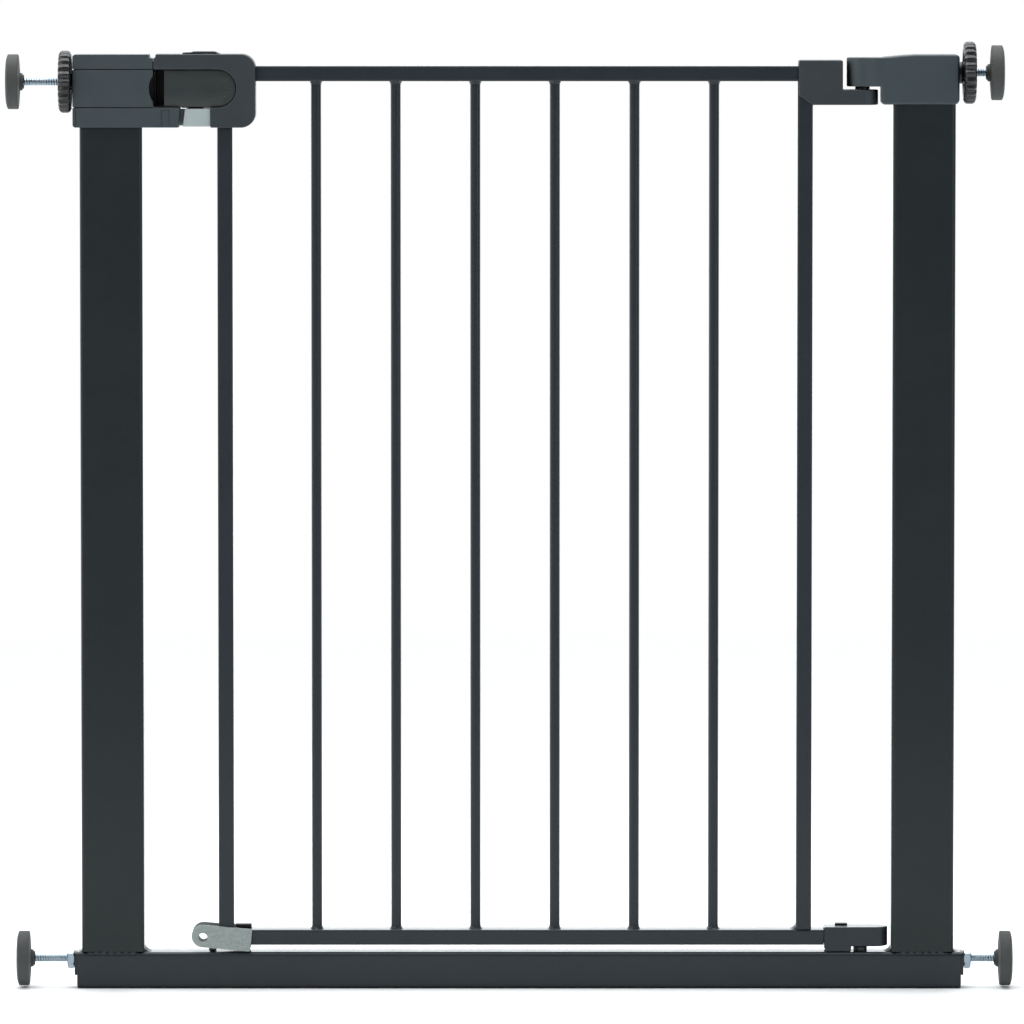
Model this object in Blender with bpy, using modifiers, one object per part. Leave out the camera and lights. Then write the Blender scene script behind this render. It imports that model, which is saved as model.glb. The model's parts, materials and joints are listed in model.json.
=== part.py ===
"""A pressure-fit safety gate for a doorway: a clamped U-shaped frame and a barred leaf.

Units are metres. X runs along the gate towards the hinge post, -Y is the front, and +Z is up.
The origin is at the middle of the threshold's underside, on the floor.
"""

import math

import bmesh
import bpy
from mathutils import Matrix, Vector

# Clearance between pieces that touch on the real gate
GAP = 0.0003

# Rounding of the moulded caps' and the housing's edges
EDGE_RADIUS = 0.0012

# Frame
THRESHOLD_LENGTH = 0.6918
THRESHOLD_HEIGHT = 0.0283
FRAME_DEPTH = 0.025
FRAME_WALL = 0.0015
FRAME_CORNER = 0.0035
POST_WIDTH = 0.049
POST_TOP = 0.726
LEFT_POST_X = -0.3178
RIGHT_POST_X = 0.3156

# Post caps
CAP_DEPTH = 0.029
CAP_TOP = 0.7303
LEFT_CAP_OUTER_X = -0.3474
LEFT_CAP_INNER_X = -0.2851
LEFT_CAP_BOTTOM = 0.6736
RIGHT_CAP_INNER_X = 0.2818
RIGHT_CAP_OUTER_X = 0.3427
RIGHT_CAP_BOTTOM = 0.6914
CAP_GROOVE = 0.0009
CAP_GROOVE_END_X = -0.284
CAP_SCREW_Z = 0.7045
BUSH_HOLE_RADIUS = 0.0063

# Pan-head screws, put in from the back
SCREW_HEAD_RADIUS = 0.0032
SCREW_SHANK_RADIUS = 0.0015
SCREW_HOLE_RADIUS = 0.0018
SCREW_LENGTH = 0.009
SCREW_HOLE_DEPTH = 0.0105

# Keeper tongue and the finger hollow above it
TONGUE_END_X = -0.264
TONGUE_TOP = 0.6891
HOLLOW_TOP = 0.7188
HOLLOW_ARC_X = -0.2646
HOLLOW_ARC_RADIUS = 0.0242
SCOOP_BACK_Y = -0.0022
KEEPER_SLOT_DEPTH = 0.005
KEEPER_SLOT_HALF_WIDTH = 0.006

# Hinge axis, and the height of the upper pivot that the leaf tilts about
HINGE_X = 0.2675
HINGE_Z = 0.7032
KNUCKLE_RADIUS = 0.0123
CAP_ARM_BOTTOM = 0.7054
CAP_ARM_TOP = 0.728
LEAF_ARM_TOP = 0.703
HINGE_PIN_RADIUS = 0.0032
UPPER_PIN_TOP = 0.7205
UPPER_PIN_BOTTOM = 0.6915
LOWER_PIN_TOP = 0.043
LOWER_COLLAR_TOP = 0.0318

# The stop on the threshold that stands between the latch bracket's cheeks
FLOOR_STOP_LEFT_X = -0.243
FLOOR_STOP_RIGHT_X = -0.237
FLOOR_STOP_HALF_WIDTH = 0.008
FLOOR_STOP_TOP = 0.0385

# Leaf
LEAF_DEPTH = 0.020
RAIL_HEIGHT = 0.012
STILE_WIDTH = 0.012
LEAF_WALL = 0.0012
LEAF_CORNER = 0.002
TOP_RAIL_Z = 0.7155
BOTTOM_RAIL_Z = 0.0397
BOTTOM_RAIL_LEFT_X = -0.229
BOTTOM_RAIL_RIGHT_X = 0.2386
LATCH_STILE_X = -0.2291
HINGE_STILE_X = 0.2228
BAR_COUNT = 6
BAR_PITCH = 0.06205
BAR_MIDDLE_X = -0.0031
BAR_RADIUS = 0.004
BAR_WALL = 0.0009

# Handle housing
HOUSING_DEPTH = 0.029
HOUSING_WALL = 0.002
HOUSING_LEFT_X = -0.2845
HOUSING_RIGHT_X = -0.2052
HOUSING_TOP = 0.7306
HOUSING_BOTTOM = 0.6735
HOUSING_CORNER = 0.0086
HOUSING_STEP_X = -0.2388
HOUSING_SCREW_X = -0.213
HEAD_RECESS = 0.0022
HOUSING_SCREWS = {"housing_screw_upper": 0.7, "housing_screw_lower": 0.683}
RECESS_END_X = -0.2349
SLIDER_LEFT_X = -0.2786
SLIDER_FRONT_Y = -0.0134
SLIDER_BACK_Y = -0.0106
SLIDER_SIDE_GAP = 0.0006
SPRING_POST_RIGHT_X = -0.266
LUG_LEFT_X = -0.246

# Release bolt
BOLT_LEFT_X = -0.2612
BOLT_RIGHT_X = -0.2402
BOLT_BOTTOM = 0.6743
BOLT_TOP = 0.6882
BOLT_DEPTH = 0.0244
RELEASE_TRAVEL = 0.0045

# The link that joins the bolt to the thumb button, behind the lever
LINK_LEFT_X = -0.258
LINK_RIGHT_X = -0.2462
LINK_FRONT_Y = 0.002
LINK_BACK_Y = 0.006
LINK_TOP = 0.7222
STEM_LEFT_X = -0.256
STEM_RIGHT_X = -0.2475

# Wall fittings
SPINDLE_RADIUS = 0.003
SPINDLE_LENGTH = 0.0677
SPINDLE_SEAT = 0.0063
PAD_RADIUS = 0.0214
WHEEL_RADIUS = 0.0242
WHEEL_THICKNESS = 0.0096
WHEEL_RIBS = 24
NUT_FLATS = 0.0142
NUT_THICKNESS = 0.0055
LEFT_BUSH_FLANGE = 0.0012
RIGHT_BUSH_FLANGE = 0.0032
PLUG_BOSS = 0.0023
TOP_LEFT_SPINDLE_Z = 0.709
TOP_RIGHT_SPINDLE_Z = 0.716
BOTTOM_SPINDLE_Z = 0.0224
PAD_FACES = {"top_left": -0.3998, "top_right": 0.3779, "bottom_left": -0.3935, "bottom_right": 0.3865}

# Directions of a piece's own x, y and z axes
UPRIGHT = Matrix.Identity(4)
FACING = Matrix(((1, 0, 0, 0), (0, 0, -1, 0), (0, 1, 0, 0), (0, 0, 0, 1)))
TO_RIGHT = Matrix(((0, 0, 1, 0), (1, 0, 0, 0), (0, 1, 0, 0), (0, 0, 0, 1)))
TO_LEFT = Matrix(((0, 0, -1, 0), (1, 0, 0, 0), (0, -1, 0, 0), (0, 0, 0, 1)))
TO_BACK = Matrix(((1, 0, 0, 0), (0, 0, 1, 0), (0, -1, 0, 0), (0, 0, 0, 1)))


# ---------------------------------------------------------------- scene and materials


def clear_scene():
    for obj in list(bpy.data.objects):
        bpy.data.objects.remove(obj)


def new_collection(name):
    collection = bpy.data.collections.new(name)
    bpy.context.scene.collection.children.link(collection)
    return collection


def new_material(name, colour, roughness, metallic):
    material = bpy.data.materials.new(name)
    material.use_nodes = True
    shader = material.node_tree.nodes["Principled BSDF"]
    shader.inputs["Base Color"].default_value = (*colour, 1)
    shader.inputs["Roughness"].default_value = roughness
    shader.inputs["Metallic"].default_value = metallic
    return material


FINISHES = {
    "powder_coat": ((0.030, 0.040, 0.043), 0.5, 0.3),
    "cap_plastic": ((0.056, 0.066, 0.076), 0.45, 0.0),
    "housing_plastic": ((0.036, 0.042, 0.047), 0.5, 0.0),
    "lever_plastic": ((0.044, 0.052, 0.056), 0.45, 0.0),
    "dark_plastic": ((0.020, 0.022, 0.024), 0.5, 0.0),
    "light_plastic": ((0.32, 0.38, 0.38), 0.4, 0.0),
    "zinc": ((0.50, 0.55, 0.58), 0.3, 1.0),
    "bracket_steel": ((0.24, 0.27, 0.27), 0.4, 0.9),
    "pad_rubber": ((0.080, 0.090, 0.090), 0.7, 0.0),
}


def keep(obj, finish, collection, parent=None):
    """Puts a finished piece in the gate's collection with a material of its own."""
    collection.objects.link(obj)
    obj.data.materials.clear()
    obj.data.materials.append(new_material(obj.name, *FINISHES[finish]))
    if any(modifier.type == "BOOLEAN" for modifier in obj.modifiers):
        weld = obj.modifiers.new("weld", "WELD")
        weld.merge_threshold = 0.00002
    if parent:
        obj.parent = parent
        obj.matrix_parent_inverse = parent.matrix_world.inverted()
    return obj


def joint_empty(name, location, collection, parent=None):
    empty = bpy.data.objects.new(name, None)
    empty.empty_display_size = 0.02
    collection.objects.link(empty)
    empty.location = location
    bpy.context.view_layer.update()
    if parent:
        empty.parent = parent
        empty.matrix_parent_inverse = parent.matrix_world.inverted()
        bpy.context.view_layer.update()
    return empty


# ---------------------------------------------------------------- outlines


def arc(centre_x, centre_y, radius, start, end, steps):
    """Points on an arc, from the start angle to the end angle in degrees."""
    points = []
    for step in range(steps + 1):
        angle = math.radians(start + (end - start) * step / steps)
        points.append((centre_x + radius * math.cos(angle), centre_y + radius * math.sin(angle)))
    return points


def circle(radius, steps, x=0.0, y=0.0):
    return arc(x, y, radius, 0, 360, steps)[:-1]


def rounded_rectangle(left, right, bottom, top, radius, steps=3):
    points = arc(right - radius, bottom + radius, radius, -90, 0, steps)
    points += arc(right - radius, top - radius, radius, 0, 90, steps)
    points += arc(left + radius, top - radius, radius, 90, 180, steps)
    points += arc(left + radius, bottom + radius, radius, 180, 270, steps)
    return points


def tube_outlines(width, height, wall, corner):
    outer = rounded_rectangle(-width / 2, width / 2, -height / 2, height / 2, corner)
    inner_width = width - 2 * wall
    inner_height = height - 2 * wall
    inner_corner = max(corner - wall, 0.0003)
    inner = rounded_rectangle(
        -inner_width / 2, inner_width / 2, -inner_height / 2, inner_height / 2, inner_corner
    )
    return [outer, inner]


def knuckle_plan(centre_x, radius, other_x, steps=12):
    """A plan outline with a half-round end about centre_x that runs straight to other_x."""
    if other_x < centre_x:
        return [(other_x, -radius), *arc(centre_x, 0, radius, -90, 90, steps), (other_x, radius)]
    return [(other_x, radius), *arc(centre_x, 0, radius, 90, 270, steps), (other_x, -radius)]


# ---------------------------------------------------------------- solids


def solid_from(bm, name, basis, centre):
    bmesh.ops.recalc_face_normals(bm, faces=bm.faces)
    mesh = bpy.data.meshes.new(name)
    bm.to_mesh(mesh)
    bm.free()
    obj = bpy.data.objects.new(name, mesh)
    obj.matrix_world = Matrix.Translation(centre) @ basis
    return obj


def box(name, x, y, z):
    """A box between the two values given for each axis."""
    low = Vector((x[0], y[0], z[0]))
    high = Vector((x[1], y[1], z[1]))
    bm = bmesh.new()
    bmesh.ops.create_cube(bm, size=1)
    bmesh.ops.scale(bm, vec=high - low, verts=bm.verts)
    return solid_from(bm, name, UPRIGHT, (low + high) / 2)


def cylinder(name, radius, length, basis, centre, segments=24):
    bm = bmesh.new()
    bmesh.ops.create_cone(
        bm, cap_ends=True, segments=segments, radius1=radius, radius2=radius, depth=length
    )
    return smooth(solid_from(bm, name, basis, centre))


def extrusion(name, outlines, thickness, basis=UPRIGHT, centre=(0, 0, 0)):
    """An outline, with any holes in it, extruded evenly both ways from its plane."""
    curve = bpy.data.curves.new(name, "CURVE")
    curve.dimensions = "2D"
    curve.fill_mode = "BOTH"
    curve.extrude = thickness / 2
    for outline in outlines:
        spline = curve.splines.new("POLY")
        spline.points.add(len(outline) - 1)
        for point, place in zip(spline.points, outline):
            point.co = (*place, 0, 1)
        spline.use_cyclic_u = True
    guide = bpy.data.objects.new(name + "_outline", curve)
    bpy.context.scene.collection.objects.link(guide)
    graph = bpy.context.evaluated_depsgraph_get()
    mesh = bpy.data.meshes.new_from_object(guide.evaluated_get(graph))
    bm = bmesh.new()
    bm.from_mesh(mesh)
    bmesh.ops.remove_doubles(bm, verts=bm.verts, dist=0.00001)
    bpy.data.objects.remove(guide)
    return smooth(solid_from(bm, name, basis, centre))


def turned(name, profile, basis, centre, steps=20):
    """A profile of (radius, height) points, running down its outer side, turned about local z."""
    mesh = bpy.data.meshes.new(name)
    points = [(radius, 0, height) for radius, height in profile]
    edges = [(i, i + 1) for i in range(len(points) - 1)]
    if profile[0][0] > 0:
        edges.append((len(points) - 1, 0))
    mesh.from_pydata(points, edges, [])
    obj = bpy.data.objects.new(name, mesh)
    obj.matrix_world = Matrix.Translation(centre) @ basis
    screw = obj.modifiers.new("turn", "SCREW")
    screw.steps = steps
    screw.render_steps = steps
    screw.use_merge_vertices = True
    screw.merge_threshold = 0.00001
    screw.use_smooth_shade = True
    return obj


def smooth(obj):
    obj.data.shade_smooth()
    obj.data.set_sharp_from_angle(angle=math.radians(32))
    return obj


def soften(obj, width, segments=2):
    bevel = obj.modifiers.new("soft_edges", "BEVEL")
    bevel.width = width
    bevel.segments = segments
    bevel.limit_method = "ANGLE"
    bevel.angle_limit = math.radians(40)
    obj.modifiers.new("triangles", "TRIANGULATE")
    return obj


def boolean(obj, other, operation, tools):
    """Cuts, joins or intersects obj with other, which becomes a hidden tool."""
    tools.objects.link(other)
    other.hide_render = True
    other.display_type = "WIRE"
    modifier = obj.modifiers.new(other.name, "BOOLEAN")
    modifier.operation = operation
    modifier.object = other


def cut(obj, tools, *cutters):
    for cutter in cutters:
        boolean(obj, cutter, "DIFFERENCE", tools)
    return obj


def join(obj, tools, *others):
    for other in others:
        boolean(obj, other, "UNION", tools)
    return obj


def rear_screw(name, x, y, z):
    """A pan-head screw put in from the back, its head resting on the face at y."""
    head = SCREW_HEAD_RADIUS
    shank = SCREW_SHANK_RADIUS
    profile = [(0, 0.0018), (head * 0.6, 0.0017), (head, 0.0009), (head, GAP), (shank, GAP)]
    profile += [(shank, -SCREW_LENGTH), (0, -SCREW_LENGTH - 0.001)]
    return turned(name, profile, TO_BACK, (x, y, z), 16)


def rear_screw_hole(name, x, y, z):
    return cylinder(name, SCREW_HOLE_RADIUS, 2 * SCREW_HOLE_DEPTH, TO_BACK, (x, y, z), 16)


# ---------------------------------------------------------------- frame


def threshold_bar(part):
    outlines = tube_outlines(FRAME_DEPTH, THRESHOLD_HEIGHT, FRAME_WALL, FRAME_CORNER)
    centre = (0, 0, THRESHOLD_HEIGHT / 2)
    keep(extrusion("threshold_bar", outlines, THRESHOLD_LENGTH, TO_RIGHT, centre), "powder_coat", part)


def post(name, x, outward, spindle_z, part, tools):
    bottom = THRESHOLD_HEIGHT + GAP
    outlines = tube_outlines(POST_WIDTH, FRAME_DEPTH, FRAME_WALL, FRAME_CORNER)
    obj = extrusion(name, outlines, POST_TOP - bottom, UPRIGHT, (x, 0, (bottom + POST_TOP) / 2))
    outer_face = x + outward * POST_WIDTH / 2
    hole_length = 8 * FRAME_WALL
    bush_centre = (outer_face, 0, spindle_z)
    bush_hole = cylinder(name + "_bush_hole", BUSH_HOLE_RADIUS, hole_length, TO_RIGHT, bush_centre)
    screw_hole = rear_screw_hole(name + "_screw_hole", x, CAP_DEPTH / 2, CAP_SCREW_Z)
    cut(obj, tools, bush_hole, screw_hole)
    keep(obj, "powder_coat", part)


def post_pocket(name, x, bottom):
    half_width = POST_WIDTH / 2 + GAP
    half_depth = FRAME_DEPTH / 2 + GAP
    sides = (x - half_width, x + half_width)
    return box(name, sides, (-half_depth, half_depth), (bottom - 0.01, POST_TOP + GAP))


def cap_groove(name, z):
    """A C-shaped cutter that scores a line round the keeper's outer, front and back faces."""
    clear = 0.006
    half = CAP_DEPTH / 2
    beyond_x = LEFT_CAP_OUTER_X - clear
    floor_x = LEFT_CAP_OUTER_X + CAP_GROOVE
    floor_y = half - CAP_GROOVE
    outline = [(beyond_x, -half - clear), (CAP_GROOVE_END_X, -half - clear)]
    outline += [(CAP_GROOVE_END_X, -floor_y), (floor_x, -floor_y)]
    outline += [(floor_x, floor_y), (CAP_GROOVE_END_X, floor_y)]
    outline += [(CAP_GROOVE_END_X, half + clear), (beyond_x, half + clear)]
    return extrusion(name, [outline], CAP_GROOVE, UPRIGHT, (0, 0, z))


def finger_scoop():
    """A cutter for the round left end of the finger hollow, in the front of the cap only."""
    middle = (TONGUE_TOP + HOLLOW_TOP) / 2
    half_angle = math.degrees(math.acos((HOLLOW_ARC_X - LEFT_CAP_INNER_X) / HOLLOW_ARC_RADIUS))
    outline = arc(HOLLOW_ARC_X, middle, HOLLOW_ARC_RADIUS, 180 - half_angle, 180 + half_angle, 10)
    half_height = HOLLOW_ARC_RADIUS * math.sin(math.radians(half_angle))
    beyond_x = LEFT_CAP_INNER_X + 0.01
    outline += [(beyond_x, middle - half_height), (beyond_x, middle + half_height)]
    return extrusion("finger_scoop", [outline], CAP_DEPTH, FACING, (0, SCOOP_BACK_Y - CAP_DEPTH / 2, 0))


def left_post_cap(part, tools):
    """The keeper: a cap over the latch post whose tongue reaches under the handle."""
    corner = 0.003
    outline = arc(LEFT_CAP_OUTER_X + corner, LEFT_CAP_BOTTOM + corner, corner, 180, 270, 3)
    outline += [(TONGUE_END_X - 0.0012, LEFT_CAP_BOTTOM), (TONGUE_END_X, TONGUE_TOP)]
    outline.append((LEFT_CAP_INNER_X, TONGUE_TOP))
    outline += arc(LEFT_CAP_INNER_X - corner, CAP_TOP - corner, corner, 0, 90, 3)
    outline += arc(LEFT_CAP_OUTER_X + corner, CAP_TOP - corner, corner, 90, 180, 3)
    cap = soften(extrusion("left_post_cap", [outline], CAP_DEPTH, FACING), EDGE_RADIUS)
    slot = box(
        "keeper_slot",
        (TONGUE_END_X - KEEPER_SLOT_DEPTH, TONGUE_END_X + KEEPER_SLOT_DEPTH),
        (-KEEPER_SLOT_HALF_WIDTH, KEEPER_SLOT_HALF_WIDTH),
        (LEFT_CAP_BOTTOM - 0.01, TONGUE_TOP + 0.01),
    )
    bush_centre = (LEFT_CAP_OUTER_X, 0, TOP_LEFT_SPINDLE_Z)
    cut(
        cap,
        tools,
        post_pocket("left_cap_pocket", LEFT_POST_X, LEFT_CAP_BOTTOM),
        finger_scoop(),
        slot,
        cap_groove("cap_groove_upper", HOLLOW_TOP),
        cap_groove("cap_groove_lower", TONGUE_TOP),
        cylinder("left_cap_bush_hole", BUSH_HOLE_RADIUS, 0.02, TO_RIGHT, bush_centre),
        rear_screw_hole("left_cap_screw_hole", LEFT_POST_X, CAP_DEPTH / 2, CAP_SCREW_Z),
    )
    keep(cap, "cap_plastic", part)


def right_post_cap(part, tools):
    """The hinge cap: a cap over the hinge post with the upper half of the top hinge."""
    corner = 0.004
    body = rounded_rectangle(RIGHT_CAP_INNER_X, RIGHT_CAP_OUTER_X, RIGHT_CAP_BOTTOM, CAP_TOP, corner)
    cap = soften(extrusion("right_post_cap", [body], CAP_DEPTH, FACING), EDGE_RADIUS)
    arm_height = CAP_ARM_TOP - CAP_ARM_BOTTOM
    arm_plan = knuckle_plan(HINGE_X, KNUCKLE_RADIUS, RIGHT_CAP_INNER_X + 0.0062)
    arm_centre = (0, 0, (CAP_ARM_TOP + CAP_ARM_BOTTOM) / 2)
    join(cap, tools, extrusion("cap_arm", [arm_plan], arm_height, UPRIGHT, arm_centre))
    pin_hole = cylinder("cap_pin_hole", HINGE_PIN_RADIUS + GAP, 0.038, UPRIGHT, (HINGE_X, 0, HINGE_Z))
    bush_centre = (RIGHT_CAP_OUTER_X, 0, TOP_RIGHT_SPINDLE_Z)
    cut(
        cap,
        tools,
        post_pocket("right_cap_pocket", RIGHT_POST_X, RIGHT_CAP_BOTTOM),
        pin_hole,
        cylinder("right_cap_bush_hole", BUSH_HOLE_RADIUS, 0.02, TO_RIGHT, bush_centre),
        rear_screw_hole("right_cap_screw_hole", RIGHT_POST_X, CAP_DEPTH / 2, CAP_SCREW_Z),
    )
    keep(cap, "cap_plastic", part)


def cap_screws(part):
    for name, x in (("left_cap_screw", LEFT_POST_X), ("right_cap_screw", RIGHT_POST_X)):
        keep(rear_screw(name, x, CAP_DEPTH / 2, CAP_SCREW_Z), "zinc", part)


def spindle_bush(name, face_x, z, flange, basis, part):
    """A flanged bush in the outer face of a cap, guiding an upper spindle."""
    bore = SPINDLE_RADIUS + GAP
    sleeve = BUSH_HOLE_RADIUS - GAP
    rim = 0.0085
    depth = 0.009
    profile = [(bore, flange), (rim - 0.0007, flange), (rim, flange - 0.0006), (rim, GAP)]
    profile += [(sleeve, GAP), (sleeve, -depth), (bore, -depth)]
    keep(turned(name, profile, basis, (face_x, 0, z)), "dark_plastic", part)


def threshold_plug(name, side, basis, part, tools):
    """A plastic plug in the threshold's end, with a boss that guides the lower spindle."""
    length = 0.018
    boss_radius = 0.0072
    boss_drop = 0.0045
    half_y = FRAME_DEPTH / 2 - FRAME_WALL - GAP
    half_z = THRESHOLD_HEIGHT / 2 - FRAME_WALL - GAP
    outline = rounded_rectangle(-half_y, half_y, -half_z, half_z, 0.0013)
    end_x = side * THRESHOLD_LENGTH / 2
    plug_centre = (end_x - side * (length / 2 - GAP), 0, THRESHOLD_HEIGHT / 2)
    plug = extrusion(name, [outline], length, TO_RIGHT, plug_centre)
    boss_centre = (end_x, 0, BOTTOM_SPINDLE_Z - boss_drop)
    join(plug, tools, cylinder(name + "_boss", boss_radius, 2 * PLUG_BOSS, basis, boss_centre, 32))
    hole_centre = (end_x, 0, BOTTOM_SPINDLE_Z)
    hole_length = 3 * length
    cut(plug, tools, cylinder(name + "_hole", SPINDLE_RADIUS + GAP, hole_length, basis, hole_centre))
    keep(plug, "dark_plastic", part)


def floor_stop_tab(part):
    """The tab that stands between the latch bracket's cheeks until the leaf is lifted."""
    tab = box(
        "floor_stop_tab",
        (FLOOR_STOP_LEFT_X, FLOOR_STOP_RIGHT_X),
        (-FLOOR_STOP_HALF_WIDTH, FLOOR_STOP_HALF_WIDTH),
        (THRESHOLD_HEIGHT + GAP, FLOOR_STOP_TOP),
    )
    keep(soften(tab, 0.0012), "bracket_steel", part)


def hinge_pins(part):
    pin = HINGE_PIN_RADIUS
    chamfer = 0.0005
    upper = [(0, UPPER_PIN_TOP), (pin - chamfer, UPPER_PIN_TOP), (pin, UPPER_PIN_TOP - chamfer)]
    upper += [(pin, UPPER_PIN_BOTTOM + chamfer), (pin - chamfer, UPPER_PIN_BOTTOM), (0, UPPER_PIN_BOTTOM)]
    keep(turned("upper_hinge_pin", upper, UPRIGHT, (HINGE_X, 0, 0)), "zinc", part)
    base = THRESHOLD_HEIGHT + GAP
    nose = 0.0008
    collar = 0.0054
    lower = [(0, LOWER_PIN_TOP), (pin - nose, LOWER_PIN_TOP), (pin, LOWER_PIN_TOP - nose)]
    lower += [(pin, LOWER_COLLAR_TOP), (collar, LOWER_COLLAR_TOP), (collar, base), (0, base)]
    keep(turned("lower_hinge_pin", lower, UPRIGHT, (HINGE_X, 0, 0)), "dark_plastic", part)


def upper_hinge_bush(part, pivot):
    bore = HINGE_PIN_RADIUS + GAP
    top = CAP_ARM_BOTTOM - GAP
    under_flange = LEAF_ARM_TOP + GAP
    bottom = 0.694
    flange = 0.0058
    sleeve = 0.0047
    chamfer = 0.0004
    profile = [(bore, top), (flange - chamfer, top), (flange, top - chamfer), (flange, under_flange)]
    profile += [(sleeve, under_flange), (sleeve, bottom), (bore, bottom)]
    keep(turned("upper_hinge_bush", profile, UPRIGHT, (HINGE_X, 0, 0)), "dark_plastic", part, pivot)


# ---------------------------------------------------------------- leaf


def rails(part, tools, leaf):
    outlines = tube_outlines(LEAF_DEPTH, RAIL_HEIGHT, LEAF_WALL, LEAF_CORNER)
    ends = {
        "top_rail": (LATCH_STILE_X - STILE_WIDTH / 2, HINGE_STILE_X + STILE_WIDTH / 2, TOP_RAIL_Z),
        "bottom_rail": (BOTTOM_RAIL_LEFT_X, BOTTOM_RAIL_RIGHT_X, BOTTOM_RAIL_Z),
    }
    for name, (left, right, z) in ends.items():
        rail = extrusion(name, outlines, right - left, TO_RIGHT, ((left + right) / 2, 0, z))
        if name == "top_rail":
            cut(rail, tools, rear_screw_hole("top_rail_screw_hole", HINGE_STILE_X, KNUCKLE_RADIUS, z))
        keep(rail, "powder_coat", part, leaf)


def uprights(part, leaf):
    """The two stiles and the round bars, between the rails."""
    bottom = BOTTOM_RAIL_Z + RAIL_HEIGHT / 2 + GAP
    top = TOP_RAIL_Z - RAIL_HEIGHT / 2 - GAP
    middle = (bottom + top) / 2
    stile = tube_outlines(STILE_WIDTH, LEAF_DEPTH, LEAF_WALL, LEAF_CORNER)
    for name, x in (("latch_stile", LATCH_STILE_X), ("hinge_stile", HINGE_STILE_X)):
        keep(extrusion(name, stile, top - bottom, UPRIGHT, (x, 0, middle)), "powder_coat", part, leaf)
    bar = [circle(BAR_RADIUS, 16), circle(BAR_RADIUS - BAR_WALL, 16)]
    for number in range(BAR_COUNT):
        x = BAR_MIDDLE_X + BAR_PITCH * (number - (BAR_COUNT - 1) / 2)
        name = f"bar_{number + 1}"
        keep(extrusion(name, bar, top - bottom, UPRIGHT, (x, 0, middle)), "powder_coat", part, leaf)


def latch_bracket(part, tools, leaf):
    """Two cheeks joined by a web under the rail; the floor stop stands between the cheeks."""
    slope = -5.2
    eye_x = -0.2476
    eye_z = 0.0409
    half_width = 0.0088
    length = 0.038
    inner_y = LEAF_DEPTH / 2 + GAP
    thickness = 0.002
    along = Vector((math.cos(math.radians(slope)), math.sin(math.radians(slope))))
    across = Vector((-along.y, along.x))
    end = Vector((eye_x, eye_z)) + along * length
    outline = arc(eye_x, eye_z, half_width, 90 + slope, 270 + slope, 12)
    outline += [tuple(end - across * half_width), tuple(end + across * half_width)]
    eye_radius = 0.0036
    eye_drop = 0.0012
    eye = circle(eye_radius, 20, eye_x, eye_z - eye_drop)
    cheeks = []
    for side, name in ((-1, "latch_bracket"), (1, "latch_bracket_rear_cheek")):
        centre = (0, side * (inner_y + thickness / 2), 0)
        cheeks.append(extrusion(name, [outline, eye], thickness, FACING, centre))
    web = box("latch_bracket_web", (-0.2255, -0.2115), (-0.011, 0.011), (0.0306, 0.0328))
    bracket = join(cheeks[0], tools, web, cheeks[1])
    keep(bracket, "bracket_steel", part, leaf)


def upper_hinge_block(part, tools, leaf):
    """The plastic block on the leaf's top hinge corner, with the lower half of the top hinge."""
    left = 0.2177
    right = 0.252
    bottom = 0.6911
    top = 0.7259
    reach = HINGE_X + 0.02
    chamfer = 0.006
    front = [(left + chamfer, bottom), (reach, bottom), (reach, LEAF_ARM_TOP), (right, LEAF_ARM_TOP)]
    front += arc(right - 0.003, top - 0.003, 0.003, 0, 90, 3)
    front += arc(left + 0.002, top - 0.002, 0.002, 90, 180, 3)
    front.append((left, bottom + chamfer))
    block = extrusion("upper_hinge_block", [front], 0.04, FACING)
    plan = knuckle_plan(HINGE_X, KNUCKLE_RADIUS, left - 0.01)
    boolean(block, extrusion("hinge_block_plan", [plan], 0.1, UPRIGHT, (0, 0, HINGE_Z)), "INTERSECT", tools)
    half_depth = LEAF_DEPTH / 2 + GAP
    rail_top = TOP_RAIL_Z + RAIL_HEIGHT / 2 + GAP
    stile_right = HINGE_STILE_X + STILE_WIDTH / 2 + GAP
    cut(
        block,
        tools,
        box("hinge_block_pocket", (0.21, stile_right), (-half_depth, half_depth), (0.68, rail_top)),
        cylinder("hinge_block_pin_hole", 0.0052, 0.05, UPRIGHT, (HINGE_X, 0, LEAF_ARM_TOP)),
        rear_screw_hole("hinge_block_screw_hole", HINGE_STILE_X, KNUCKLE_RADIUS, TOP_RAIL_Z),
    )
    keep(block, "housing_plastic", part, leaf)
    screw = rear_screw("hinge_block_screw", HINGE_STILE_X, KNUCKLE_RADIUS, TOP_RAIL_Z)
    keep(screw, "zinc", part, leaf)


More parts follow.
